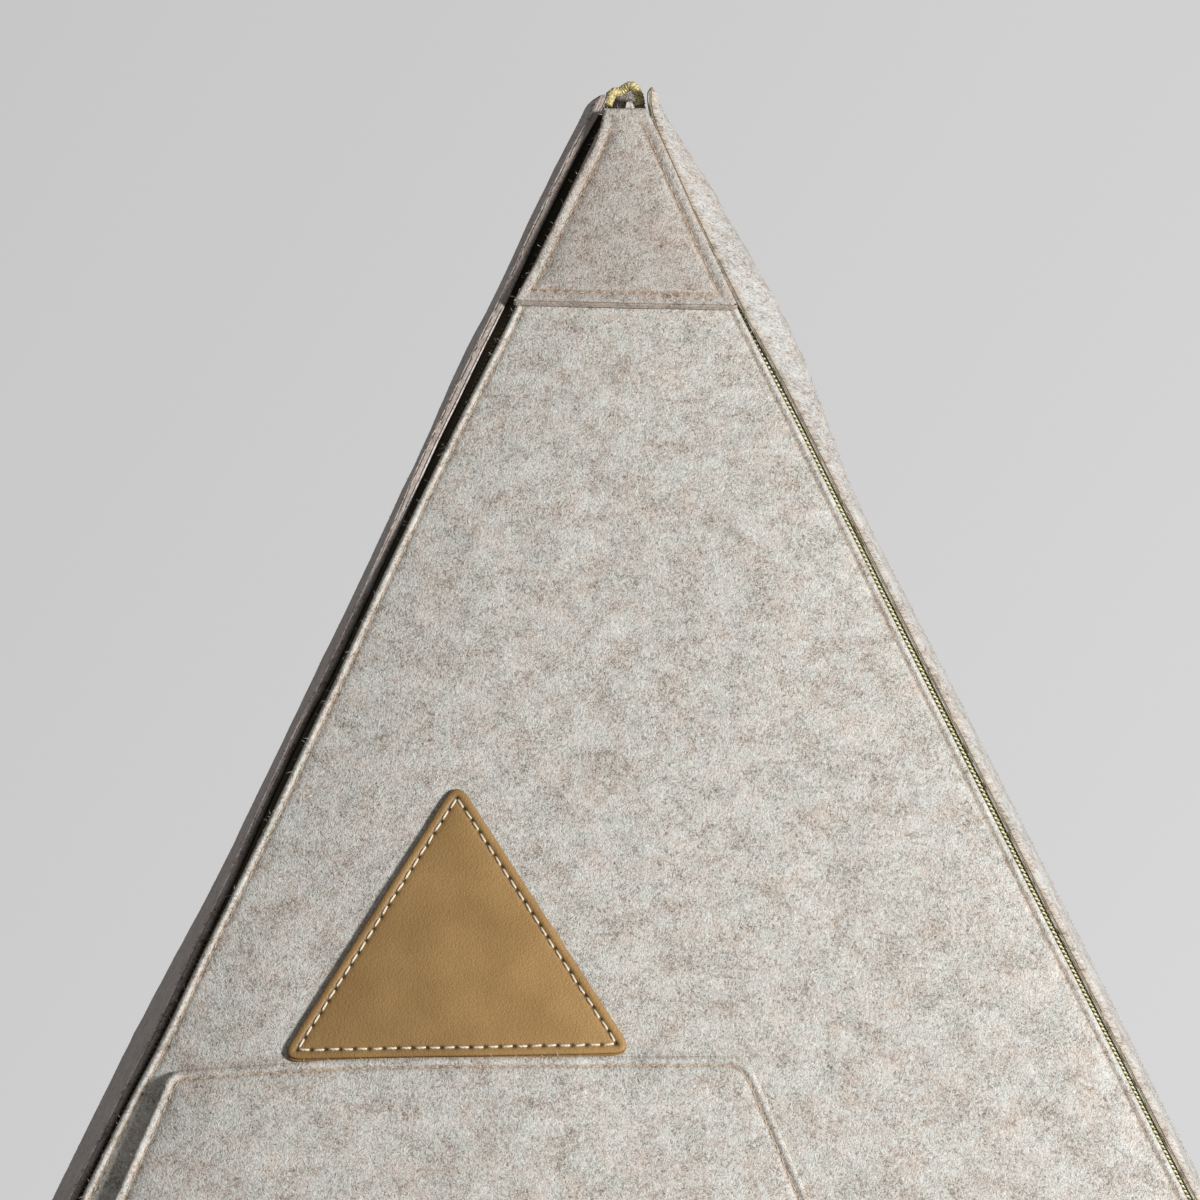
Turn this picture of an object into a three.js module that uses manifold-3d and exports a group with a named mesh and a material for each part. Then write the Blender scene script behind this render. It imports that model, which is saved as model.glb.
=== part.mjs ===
// Teepee pet bed: a felt pyramid on a felt floor panel, with a zip up both front corners and over the tip.
// Millimetres, +Z up, front towards -Y, origin on the ground under the middle of the floor panel.
import * as THREE from "three";
import { mergeVertices } from "three/addons/utils/BufferGeometryUtils.js";
import Module from "manifold-3d";

const wasm = await Module();
wasm.setup();

// Driving dimensions
const BASE = 550; // width of the front panel at its lower edge
const RISE = 553; // height of the ideal apex above the lower edges of the walls
const FLOOR_SIDE = 563; // side of the square floor panel
const FLOOR_CORNER = 6; // corner radius of the floor panel
const FELT = 3; // thickness of every felt piece
const LEATHER = 2.2; // thickness of the leather patch
const GAP = 0.35; // clearance between pieces that are sewn together, measured level
const TIP_ACROSS = 2; // half size that the pyramid keeps at its blunt tip, across
const TIP_DEEP = 6; // and in depth
const FRONT_TOP_BELOW = 8.5; // the front panel ends this far below the apex
const BACK_TOP_BELOW = 3;

// How far the felt bows out in the middle of a wall, and its slight waves
const FRONT_BOW = 3;
const BACK_BOW = 3;
const WAVE = 0.8;
const WAVE_ACROSS = 55;
const WAVE_UP = 90;

// The seams at the two front corners, as seen from the front, from the apex down the slope. The front panel's
// edge lies drawnIn inside the corner line, and the side panel's inner face lies gap outside that edge.
// The side panel's front edge lies recess behind the front panel's face. Behind its flat border the side panel
// puffs out by swell, and in its middle by belly.
const LEFT_SEAM = [
  { s: 10, drawnIn: -0.2, gap: 2.4, recess: 0.5, swell: 0, belly: 1.5 },
  { s: 50, drawnIn: -0.4, gap: 2.5, recess: 0.4, swell: 0, belly: 1.4 },
  { s: 85, drawnIn: 0.4, gap: 3.3, recess: 0.3, swell: 0, belly: 1.4 },
  { s: 110, drawnIn: 0, gap: 3, recess: 0.6, swell: 0, belly: 0.9 },
  { s: 140, drawnIn: -0.4, gap: 1.6, recess: 1.5, swell: 0, belly: 1.1 },
  { s: 166, drawnIn: -0.3, gap: 1.3, recess: 2.2, swell: 0, belly: 1.1 },
  { s: 200, drawnIn: 0.5, gap: 2, recess: 1.8, swell: 0, belly: 0.5 },
  { s: 234, drawnIn: 0.7, gap: 1.6, recess: 2, swell: 0, belly: 0.8 },
  { s: 262, drawnIn: 0.5, gap: 1.3, recess: 2.3, swell: 0, belly: 1.3 },
  { s: 325, drawnIn: -0.4, gap: 1.3, recess: 2.3, swell: 0, belly: 2.2 },
  { s: 440, drawnIn: 0, gap: 1.6, recess: 2, swell: 0, belly: 2.2 },
  { s: 617, drawnIn: 0, gap: 2, recess: 1, swell: 0, belly: 0 },
];
const RIGHT_SEAM = [
  { s: 5, drawnIn: 0, gap: 2.2, recess: 1, swell: 0, belly: 0 },
  { s: 20, drawnIn: 0.2, gap: 2.8, recess: 1, swell: 4.1, belly: 0 },
  { s: 36, drawnIn: 0.2, gap: 2.5, recess: 1, swell: 6.1, belly: 0.2 },
  { s: 50, drawnIn: 0.2, gap: 1.7, recess: 1, swell: 6.8, belly: 0.4 },
  { s: 79, drawnIn: 0.4, gap: 1.3, recess: 1, swell: 8.5, belly: 0.8 },
  { s: 94, drawnIn: 0.4, gap: 1.7, recess: 1, swell: 6.8, belly: 1 },
  { s: 108, drawnIn: 0.3, gap: 1.7, recess: 1, swell: 4.6, belly: 1.1 },
  { s: 136, drawnIn: 0.6, gap: 1.6, recess: 1, swell: 1.2, belly: 1.3 },
  { s: 150, drawnIn: 0.6, gap: 1.4, recess: 1, swell: 1.1, belly: 1.4 },
  { s: 178, drawnIn: 1, gap: 2.2, recess: 1, swell: 1, belly: 1.6 },
  { s: 219, drawnIn: 1.2, gap: 2.3, recess: 1, swell: 0.8, belly: 1.8 },
  { s: 260, drawnIn: 1.4, gap: 2.1, recess: 1, swell: 0.7, belly: 2 },
  { s: 298, drawnIn: 1.2, gap: 1.5, recess: 1, swell: 0.6, belly: 2 },
  { s: 336, drawnIn: 1.4, gap: 1.3, recess: 1, swell: 0.5, belly: 2 },
  { s: 440, drawnIn: 1, gap: 1.6, recess: 1, swell: 0.3, belly: 1.6 },
  { s: 617, drawnIn: 0, gap: 2, recess: 1, swell: 0, belly: 0 },
];
const SWELL_BORDER = 12; // the flat border that leads into the swell
const BACK_SEAM = 2.4; // from the corner line to a side panel's inner face at the back

// The side panels' tips: each leans out by flare, and its highest point lies below under the apex
const SIDES = {
  left: { side: -1, seam: LEFT_SEAM, flare: 0.5, below: 3.8 },
  right: { side: 1, seam: RIGHT_SEAM, flare: 4, below: 1.6 },
};
const FLARE_LENGTH = 9; // down the slope, in which the tip's lean dies out
const TIP_SLOPE = 0.6; // fall of a side panel's top edge towards the back

// Cap: a felt patch over the front panel's tip. Its lower edge hangs a little lower on the right.
const CAP_TIP = 4.8; // blunt half width at the top
const CAP_TOP_BELOW = 7.8;
const CAP_LOWER = { left: 71, right: 72.9 }; // down the slope from the apex
const CAP_OVERHANG = 0.2;
const CAP_DRAWN_IN = 2; // its lower right corner lies this far inside the panel's edge

// Outlines on the front panel: a across from the middle, s down the slope from the apex,
// round how far from the corner its rounding starts
const DOORWAY = [
  { a: -98.5, s: 347, round: 38 },
  { a: -189, s: 572, round: 24 },
  { a: 93, s: 572, round: 24 },
  { a: 3, s: 347, round: 38 },
];
const FACING = [
  { a: -127.3, s: 304.3, round: 3 },
  { a: -263, s: 640, round: 1 },
  { a: 165.5, s: 640, round: 1 },
  { a: 31, s: 302.6, round: 6 },
  { a: -80, s: 302.6, round: 30 },
];
const PATCH = [
  { a: -49, s: 220.5, round: 6.5 },
  { a: -97.6, s: 301.4, round: 6.5 },
  { a: 0, s: 300.3, round: 6.5 },
];
const MARGIN = 6; // the facing and the patch are cut from pieces this much larger than their outlines

// Zip: a coil that stands in each seam, with its tape behind the felt
const COIL_SUNK = 1.6; // the coil's face lies this far behind the front panel's face
const TAPE = 1; // thickness
const TAPE_FRONT = 12; // width behind the front panel
const TAPE_SIDE = 11; // width along the side panel
const COIL_TOP_BELOW = 5.8; // the straight runs of coil end this far below the apex
const TAPE_TOP_BELOW = 11; // and their tape this far
const DRAWN_GAP = 6; // the zip's sections are drawn for this seam gap and then fitted to the real one
const LOOP_THICK = 2.8;
// Route of the loop over the tip: x across, y from the front face at the tip, up from the apex
const LOOP_ROUTE = [
  { x: -4.8, back: 3.2, up: -6.9 },
  { x: -4.1, back: 3.3, up: -5.0 },
  { x: -2.9, back: 3.8, up: -3.1 },
  { x: -1.0, back: 4.6, up: -2.9 },
  { x: 0.8, back: 4.2, up: -1.7 },
  { x: 2.4, back: 3.6, up: -1.2 },
  { x: 3.9, back: 3.3, up: -2.6 },
  { x: 4.7, back: 3.2, up: -4.6 },
  { x: 5.1, back: 3.2, up: -6.9 },
];

const LEAN_TAN = BASE / 2 / RISE;
const LEAN = Math.atan(LEAN_TAN);
const HEM_Z = FELT + GAP; // lower edge of the walls, on the floor panel
const APEX_Z = HEM_Z + RISE;
const level = (thickness) => thickness / Math.cos(LEAN); // a thickness on the slope, measured level
const slant = (z) => (APEX_Z - z) / Math.cos(LEAN);
const heightAt = (s) => APEX_Z - s * Math.cos(LEAN);
const { lerp } = THREE.MathUtils;

// Half the pyramid's size at height z: straight slopes that meet in a blunt tip
const half = (z, blunt) => Math.hypot((APEX_Z - z) * LEAN_TAN, blunt);
const halfAcross = (z) => half(z, TIP_ACROSS);
const halfDeep = (z) => half(z, TIP_DEEP);

// Rows of cells up the walls: they lie closer towards the tip. All walls and the zip share the rows below the
// tape's end, so that they stay the same distance apart, and each wall has its own few rows in its tip.
const SHARED_ROWS = 24;
const TIP_ROWS = 3;
const WALL_ROWS = SHARED_ROWS + TIP_ROWS;
const SHARED_TOP = APEX_Z - TAPE_TOP_BELOW;
const rowHeight = (v) => 1 - (1 - v) ** 1.5;
function wallRow(v, top) {
  const row = v * WALL_ROWS;
  return row > SHARED_ROWS
    ? lerp(SHARED_TOP, top, (row - SHARED_ROWS) / TIP_ROWS)
    : lerp(HEM_Z, SHARED_TOP, rowHeight(row / SHARED_ROWS));
}

// A column of a table of seam rows at a slope distance, in proportion between the rows above and below
function along(rows, column, s) {
  const below = rows.findIndex((row) => row.s > s);
  if (below < 1) return rows.at(below)[column];
  const [a, b] = rows.slice(below - 1, below + 1);
  return lerp(a[column], b[column], (s - a.s) / (b.s - a.s));
}

// Half widths out to the front panel's edge and to a side panel's inner face at its front edge
const edgeAcross = (seam, z) => halfAcross(z) - along(seam, "drawnIn", slant(z));
const innerAcross = (seam, z) => edgeAcross(seam, z) + along(seam, "gap", slant(z));

const felt = new THREE.MeshStandardMaterial({ color: 0xb3aba1, roughness: 0.95, metalness: 0 });
const leather = new THREE.MeshStandardMaterial({ color: 0xb57f4c, roughness: 0.55, metalness: 0 });
const nylon = new THREE.MeshStandardMaterial({ color: 0xc2ad6b, roughness: 0.45, metalness: 0 });

function welded(geometry) {
  geometry.deleteAttribute("normal");
  geometry.deleteAttribute("uv");
  return mergeVertices(geometry);
}

// A closed sheet of cells. place() takes u across, v up and w outwards, each from 0 to 1.
function sheet(cellsAcross, cellsUp, place) {
  const box = new THREE.BoxGeometry(1, 1, 1, cellsAcross, cellsUp, 1);
  const at = box.getAttribute("position");
  for (let i = 0; i < at.count; i++) {
    const point = place(at.getX(i) + 0.5, at.getY(i) + 0.5, at.getZ(i) + 0.5);
    at.setXYZ(i, point.x, point.y, point.z);
  }
  return welded(box);
}

function solid(geometry) {
  return new wasm.Manifold(
    new wasm.Mesh({
      numProp: 3,
      vertProperties: new Float32Array(geometry.getAttribute("position").array),
      triVerts: new Uint32Array(geometry.getIndex().array),
    }),
  );
}

function geometryOf(made) {
  const mesh = made.getMesh();
  return new THREE.BufferGeometry()
    .setAttribute("position", new THREE.BufferAttribute(mesh.vertProperties, 3))
    .setIndex(new THREE.BufferAttribute(mesh.triVerts, 1));
}

function piece(name, geometry, material) {
  geometry.computeVertexNormals();
  const mesh = new THREE.Mesh(geometry, material);
  mesh.name = name;
  return mesh;
}

// A share that is nothing at the hem and at the apex and 1 halfway up
const upShare = (z) => Math.sin((Math.PI * (z - HEM_Z)) / RISE);

// How far a wall stands out of its flat plane: x across, bow its bow at this height
function bowOut(x, z, halfWidth, bow) {
  const wave = WAVE * Math.sin(x / WAVE_ACROSS + z / WAVE_UP) * upShare(z);
  return Math.max(0, 1 - (x / halfWidth) ** 2) * (bow + wave);
}

// A point on the front: out is measured level from the front panel's outer face
function onFront(x, z, out) {
  const bowed = bowOut(x, z, halfAcross(z), FRONT_BOW * upShare(z));
  return new THREE.Vector3(x, -(halfDeep(z) + bowed + out), z);
}

// An outline on the front as a prism that goes right through the front panel and what lies on it
function frontPrism(corners) {
  const depth = 60;
  const shape = new THREE.Shape();
  corners.forEach((corner, i) => {
    const at = new THREE.Vector2(corner.a, -corner.s);
    const ends = [corners.at(i - 1), corners[(i + 1) % corners.length]].map((other) =>
      new THREE.Vector2(other.a, -other.s).sub(at).setLength(corner.round).add(at),
    );
    if (i === 0) shape.moveTo(ends[0].x, ends[0].y);
    else shape.lineTo(ends[0].x, ends[0].y);
    shape.quadraticCurveTo(at.x, at.y, ends[1].x, ends[1].y);
  });
  shape.closePath();
  const prism = new THREE.ExtrudeGeometry(shape, { depth, bevelEnabled: false, curveSegments: 6 });
  prism.translate(0, 0, -depth / 2);
  prism.rotateX(Math.PI / 2 - LEAN);
  prism.translate(0, 0, APEX_Z);
  return solid(welded(prism));
}

function makeFrontPanel() {
  const top = APEX_Z - FRONT_TOP_BELOW;
  const whole = sheet(20, WALL_ROWS, (u, v, w) => {
    const z = wallRow(v, top);
    const x = lerp(-edgeAcross(LEFT_SEAM, z), edgeAcross(RIGHT_SEAM, z), u);
    return onFront(x, z, level(FELT) * (w - 1));
  });
  return geometryOf(solid(whole).subtract(frontPrism(DOORWAY)));
}

function makeCap() {
  const top = APEX_Z - CAP_TOP_BELOW;
  return sheet(6, 8, (u, v, w) => {
    const lower = heightAt(lerp(CAP_LOWER.left, CAP_LOWER.right, u));
    const z = lerp(lower, top, rowHeight(v));
    const reach = half(z, CAP_TIP) + CAP_OVERHANG;
    const x = lerp(-reach, reach - CAP_DRAWN_IN * (1 - v) ** 3, u);
    return onFront(x, z, GAP + level(FELT) * w);
  });
}

function makeDoorFacing() {
  const top = heightAt(FACING[0].s - MARGIN);
  const whole = sheet(18, 12, (u, v, w) => {
    const z = lerp(HEM_Z, top, v);
    return onFront(lerp(-1, 1, u) * halfAcross(z), z, GAP + level(FELT) * w);
  });
  return geometryOf(solid(whole).intersect(frontPrism(FACING)).subtract(frontPrism(DOORWAY)));
}

function makeLeatherPatch() {
  const [tip, left, right] = PATCH;
  const whole = sheet(8, 8, (u, v, w) => {
    const z = lerp(heightAt(left.s + MARGIN), heightAt(tip.s - MARGIN), v);
    const x = lerp(left.a - MARGIN, right.a + MARGIN, u);
    return onFront(x, z, GAP + level(LEATHER) * w);
  });
  return geometryOf(solid(whole).intersect(frontPrism(PATCH)));
}

// A side panel in the frame of a wall that faces -Y: its front edge is at the left on the right-hand panel
function makeSidePanel({ side, seam, flare, below }) {
  return sheet(12, WALL_ROWS, (u, v, w) => {
    const share = side > 0 ? u : 1 - u;
    const z = wallRow(v, APEX_Z - below - TIP_SLOPE * share * 2 * TIP_DEEP);
    const s = slant(z);
    const recess = along(seam, "recess", s);
    const back = share * (2 * halfDeep(z) - recess);
    const x = side * (back + recess - halfDeep(z));
    const inner = lerp(innerAcross(seam, z), halfAcross(z) + BACK_SEAM, share);
    const swell = along(seam, "swell", s) * Math.min(1, back / SWELL_BORDER) * (1 - share ** 2);
    const belly = bowOut(x, z, halfDeep(z), along(seam, "belly", s));
    const out = swell + belly + flare * Math.exp(-s / FLARE_LENGTH);
    return new THREE.Vector3(x, -(inner + out + level(FELT) * w), z);
  });
}

// The back panel fits between the side panels
function makeBackPanel() {
  const top = APEX_Z - BACK_TOP_BELOW;
  return sheet(12, WALL_ROWS, (u, v, w) => {
    const z = wallRow(v, top);
    const reach = halfAcross(z) + BACK_SEAM - GAP;
    const x = lerp(-reach, reach, u);
    const out = bowOut(x, z, reach, BACK_BOW * upShare(z));
    return new THREE.Vector3(x, -(halfDeep(z) + out - level(FELT) * (1 - w)), z);
  });
}

function makeFloorPanel() {
  const reach = FLOOR_SIDE / 2;
  const inner = reach - FLOOR_CORNER;
  const shape = new THREE.Shape();
  shape.absarc(inner, inner, FLOOR_CORNER, 0, Math.PI / 2);
  shape.absarc(-inner, inner, FLOOR_CORNER, Math.PI / 2, Math.PI);
  shape.absarc(-inner, -inner, FLOOR_CORNER, Math.PI, Math.PI * 1.5);
  shape.absarc(inner, -inner, FLOOR_CORNER, Math.PI * 1.5, Math.PI * 2);
  return new THREE.ExtrudeGeometry(shape, { depth: FELT, bevelEnabled: false, curveSegments: 4 });
}

// A strip that follows a front corner. Its section has p outwards from the front panel's edge and q back from
// the front panel's face. What lies past the middle of the drawn gap keeps its distance to the side panel.
// heightAlong() takes a share of the strip's length.
function cornerStrip({ side, seam }, corners, steps, heightAlong) {
  const section = new THREE.Shape(corners.map(([p, q]) => new THREE.Vector2(side * p, q)));
  const strip = new THREE.ExtrudeGeometry(section, { depth: 1, steps, bevelEnabled: false });
  const at = strip.getAttribute("position");
  for (let i = 0; i < at.count; i++) {
    const z = heightAlong(at.getZ(i));
    const p = side * at.getX(i);
    const across = p > DRAWN_GAP / 2 ? innerAcross(seam, z) + p - DRAWN_GAP : edgeAcross(seam, z) + p;
    const q = Math.min(at.getY(i), 2 * halfDeep(z) - level(FELT) - 2 * GAP);
    at.setXYZ(i, side * Math.max(across, GAP), q - halfDeep(z), z);
  }
  return solid(welded(strip));
}

// One run of the zip: the coil in the seam and the tape that bends round the corner behind it.
// Near the tip the coil goes on alone.
function makeZipRun(row) {
  const tapeFace = level(FELT) + GAP;
  const tapeBack = tapeFace + TAPE;
  const inside = DRAWN_GAP - GAP;
  const coil = [[GAP, COIL_SUNK], [inside, COIL_SUNK], [inside, tapeBack], [GAP, tapeBack]];
  const coilAndTape = [
    [GAP, COIL_SUNK],
    [inside, COIL_SUNK],
    [inside, tapeFace + TAPE_SIDE],
    [inside - TAPE, tapeFace + TAPE_SIDE],
    [inside - TAPE, tapeBack],
    [-TAPE_FRONT, tapeBack],
    [-TAPE_FRONT, tapeFace],
    [GAP, tapeFace],
  ];
  const run = cornerStrip(row, coilAndTape, SHARED_ROWS, (v) => lerp(HEM_Z, SHARED_TOP, rowHeight(v)));
  const end = cornerStrip(row, coil, TIP_ROWS, (v) => lerp(SHARED_TOP - 1, APEX_Z - COIL_TOP_BELOW, v));
  return run.add(end);
}

function makeZipLoop() {
  const route = LOOP_ROUTE.map(
    ({ x, back, up }) => new THREE.Vector3(x, back - halfDeep(APEX_Z + up), APEX_Z + up),
  );
  const section = new THREE.Shape().absarc(0, 0, LOOP_THICK / 2, 0, Math.PI * 2);
  const extrudePath = new THREE.CatmullRomCurve3(route);
  return solid(welded(new THREE.ExtrudeGeometry(section, { steps: 24, curveSegments: 4, extrudePath })));
}

function makeZip() {
  return geometryOf(makeZipRun(SIDES.left).add(makeZipLoop()).add(makeZipRun(SIDES.right)));
}

const front = new THREE.Group();
front.add(
  piece("front_panel", makeFrontPanel(), felt),
  piece("cap_overlay", makeCap(), felt),
  piece("door_facing", makeDoorFacing(), felt),
  piece("leather_patch", makeLeatherPatch(), leather),
);

const leftPanel = piece("left_panel", makeSidePanel(SIDES.left), felt);
leftPanel.rotation.z = -Math.PI / 2;

const rightPanel = piece("right_panel", makeSidePanel(SIDES.right), felt);
rightPanel.rotation.z = Math.PI / 2;

const backPanel = piece("back_panel", makeBackPanel(), felt);
backPanel.rotation.z = Math.PI;

const teepee = new THREE.Group();
teepee.add(
  front,
  leftPanel,
  rightPanel,
  backPanel,
  piece("floor_panel", makeFloorPanel(), felt),
  piece("zip", makeZip(), nylon),
);

export default teepee;
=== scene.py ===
"""Looks of a felt teepee pet bed. Sizes are in millimetres until a mesh is made, and then in metres."""
import math
from dataclasses import dataclass

import bmesh
import bpy
import numpy as np
from mathutils import Matrix, Vector
from mathutils.geometry import delaunay_2d_cdt
from mathutils.kdtree import KDTree


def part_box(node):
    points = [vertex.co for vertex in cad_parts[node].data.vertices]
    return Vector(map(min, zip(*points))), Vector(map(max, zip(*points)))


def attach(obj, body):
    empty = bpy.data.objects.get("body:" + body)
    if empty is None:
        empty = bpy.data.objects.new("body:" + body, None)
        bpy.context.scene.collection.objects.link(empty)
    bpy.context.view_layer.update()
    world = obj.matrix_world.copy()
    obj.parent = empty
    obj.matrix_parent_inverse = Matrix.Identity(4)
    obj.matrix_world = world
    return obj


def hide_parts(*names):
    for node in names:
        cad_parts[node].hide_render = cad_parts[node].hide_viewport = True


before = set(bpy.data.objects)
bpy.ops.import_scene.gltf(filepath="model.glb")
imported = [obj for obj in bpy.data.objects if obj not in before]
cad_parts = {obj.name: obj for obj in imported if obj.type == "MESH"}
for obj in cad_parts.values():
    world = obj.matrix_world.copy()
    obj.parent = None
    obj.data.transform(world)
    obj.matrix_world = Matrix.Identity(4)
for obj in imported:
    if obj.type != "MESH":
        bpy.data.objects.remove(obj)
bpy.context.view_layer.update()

M = 0.001  # metres in a millimetre

# Driving sizes, the same as the solids'
RISE = 553.0  # height of the ideal apex above the walls' lower edges
GAP = 0.35  # clearance between sewn pieces, measured level
FLOOR_SWELL = 0.5  # the floor panel's felt stands up into the walls' hems, so that no light passes under them
LEATHER, LEATHER_SEEN = 2.2, 1.2  # the solid's leather with its turned edge and glue, and the leather alone
GLUE = 0.2  # between the leather and the cloth
TIP_ACROSS, TIP_DEEP = 2.0, 6.0  # half size of the blunt tip
FRONT_TOP_BELOW, BACK_TOP_BELOW = 8.5, 3.0  # the panels' tops, below the ideal apex
FRONT_BOW, BACK_BOW = 3.0, 3.0
WAVE, WAVE_ACROSS, WAVE_UP = 0.8, 55.0, 90.0
BACK_SEAM, BACK_GAP = 2.4, 0.1  # how far out the side panels lie at the back, and the gap there
SWELL_LENGTH, FLARE_LENGTH = 6.6, 6.5  # of a side panel's swell behind its front edge, and flare at its tip
TIP_SLOPE = 0.6  # how steeply a side panel's blunt top runs down to the back


def unit(vectors):
    return vectors / np.maximum(np.linalg.norm(vectors, axis=-1, keepdims=True), 1e-9)


def bell(x, width):
    return np.exp(-((x / width) ** 2))


def node_box(name):
    """A node's lowest corner and its size in millimetres."""
    low, high = (np.array(corner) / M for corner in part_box(name))
    return low, high - low


BASE = float(node_box("front_panel")[1][0])
FLOOR_SIDE, _, FELT = (float(size) for size in node_box("floor_panel")[1])
HEM_Z = float(node_box("front_panel")[0][2])
APEX_Z = HEM_Z + RISE
LEAN_TAN = BASE / 2 / RISE
LEAN = math.atan(LEAN_TAN)
HEM_S = RISE / math.cos(LEAN)
EDGE_COS = math.cos(math.atan(math.sin(LEAN)))  # a corner line's slope on the flat cloth


def level(thickness):
    """A thickness on the slope, measured level."""
    return thickness / math.cos(LEAN)


def height_at(s):
    return APEX_Z - s * math.cos(LEAN)


def half_ideal(z):
    """Half width of the pyramid without its blunt tip."""
    return (APEX_Z - z) * LEAN_TAN


def half_across(z):
    return np.hypot(half_ideal(z), TIP_ACROSS)


def half_deep(z):
    return np.hypot(half_ideal(z), TIP_DEEP)


def up_share(z):
    return np.sin(np.pi * (z - HEM_Z) / RISE)


def bow_out(x, z, half_width, bow):
    """How far a wall stands out of its flat plane."""
    wave = WAVE * np.sin(x / WAVE_ACROSS + z / WAVE_UP) * up_share(z)
    return np.maximum(0, 1 - (x / half_width) ** 2) * (bow + wave)


# The seams at the two front corners, from the apex down the slope, as in the solids but with the cloth's
# edges as close as they lie over the coil
SEAM_COLUMNS = ("s", "drawn_in", "gap", "recess", "swell", "belly", "rear", "sunk")
LEFT_SEAM = (
    (5, 0, 0.5, 0.5, 0, 1.6, 2.4, 3.4),
    (10, 0, 0.9, 0.5, 0, 2.2, 2.4, 3.8),
    (14, -0.1, 2.0, 0.5, 0, 1.6, 2.4, 4.2),
    (22, -0.2, 2.4, 0.4, 0, 1.8, 2.4, 4.2),
    (35, -0.2, 2.65, 0.4, 0, 2.2, 2.4, 4.2),
    (50, -0.2, 2.9, 0.4, 0, 1.8, 2.4, 4.2),
    (66, -0.1, 2.5, 0.35, 0, 1.7, 2.4, 3.6),
    (77, 0.55, 3.2, 0.3, 0, 1.5, 2.4, 2.6),
    (88, 0.2, 3.05, 0.3, 0, 2.5, 2.4, 2.6),
    (103, -0.15, 2.65, 0.4, 0, 1.9, 2.4, 2.8),
    (117, -0.25, 2.75, 0.7, 0, 1.0, 2.4, 3.2),
    (128, -0.4, 2.15, 1.2, 0, 1.2, 2.4, 3.2),
    (141, -0.4, 1.3, 2.2, 0, 1.55, 2.4, 3.4),
    (165, -0.2, 0.7, 2.9, 0, 1.1, 2.2, 3.6),
    (189, 0.45, 0.8, 3.0, 0, 1.1, 1.8, 3.6),
    (202, 0.45, 1.6, 3.4, 0, 1.2, 1.6, 3.6),
    (225, 0.75, 1.5, 3.3, 0, 1.05, 1.2, 3.6),
    (249, 0.65, 0.6, 2.9, 0, 1.45, 0.8, 3.6),
    (272, 0.3, 0.1, 2.7, 0, 1.15, 0.5, 3.6),
    (295, 0.7, 0.2, 2.7, 0, 1.7, 0.8, 3.6),
    (307, -0.1, 0.05, 2.6, 0, 2.0, 1.1, 3.6),
    (330, -0.45, 0.05, 2.6, 0, 2.3, 1.6, 3.6),
    (440, 0, 1.0, 2.0, 0, 2.2, 2.0, 3.2),
    (HEM_S, 0, 2.0, 1.0, 0, 0, 2.4, 2.0),
)
RIGHT_SEAM = (
    (5, 0, 1.9, -2.0, 0, 0, 2.4, 1.0),
    (13, 0.1, 1.3, -1.6, 2.9, 0, 2.4, 1.5),
    (21, 0.2, 1.3, -1.4, 5.0, 0, 2.4, 1.5),
    (36, 0.2, 0.7, -1.2, 6.9, 0.2, 2.4, 1.5),
    (50, 0.2, 0.4, -1.0, 7.4, 0.4, 2.4, 1.3),
    (65, 0.3, 0.35, -0.6, 8.3, 0.6, 2.4, 1.0),
    (79, 0.4, 0.6, 0.0, 8.8, 0.8, 2.4, 0.7),
    (94, 0.4, 1.2, 0.4, 7.0, 1.0, 2.4, 0.4),
    (108, 0.3, 1.3, 0.8, 4.95, 1.1, 2.4, 0.3),
    (124, 0.45, 1.3, 0.8, 2.65, 1.2, 2.4, 0.3),
    (136, 0.6, 1.3, 0.8, 1.5, 1.3, 2.4, 0.3),
    (150, 0.6, 1.3, 0.8, 1.15, 1.4, 2.4, 0.3),
    (164, 1.0, 1.5, 0.8, 1.45, 1.5, 2.4, 0.3),
    (219, 1.25, 1.6, 0.8, 1.55, 1.8, 2.4, 0.3),
    (258, 1.4, 1.5, 0.8, 1.35, 2.0, 2.4, 0.3),
    (298, 1.2, 1.3, 0.8, 0.8, 2.0, 2.4, 0.3),
    (330, 1.3, 1.25, 0.8, 0.5, 2.0, 2.4, 0.3),
    (440, 1.0, 1.6, 1.0, 0.3, 1.6, 2.4, 0.4),
    (HEM_S, 0, 2.0, 1.0, 0, 0, 2.4, 0.4),
)
# A side panel's flare is how far its tip leans out, and below is how far its top lies below the ideal apex
SIDES = {
    "left": {"side": -1, "rows": LEFT_SEAM, "flare": 0.8, "below": 3.8},
    "right": {"side": 1, "rows": RIGHT_SEAM, "flare": 4.4, "below": 1.6},
}
SOFTENING = 4.5  # along the slope, over which a seam's rows run into each other

# Cap over the tip: how far its left and right edges stand out past the ideal front edges, down the slope
CAP_TOP_BELOW = 7.8  # the ideal apex
CAP_LOWER = {"left": 71.0, "right": 72.9}
CAP_EDGES = (
    (8.5, 1.85, 2.75),
    (14, 0.6, 2.6),
    (21, -0.2, 2.4),
    (29, 0.1, 1.95),
    (36, 0.26, 1.5),
    (50, 0.35, 0.8),
    (59, 0.4, 0.5),
    (66, 0.8, 0.3),
    (73, 1.3, 0.2),
)

# Outlines on the front panel: across from the middle, down the slope from the apex, and how far the rounding
# starts from the corner
DOORWAY = ((-98.5, 347, 38), (-189, 572, 24), (93, 572, 24), (3, 347, 38))
FACING = ((-127.3, 304.3, 2), (-263, 640, 1), (165.5, 640, 1), (31, 301.2, 6), (-80, 301.3, 30))
PATCH = ((-49, 220.5, 6.5), (-97.6, 301.4, 6.5), (0, 300.3, 6.5))

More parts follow.
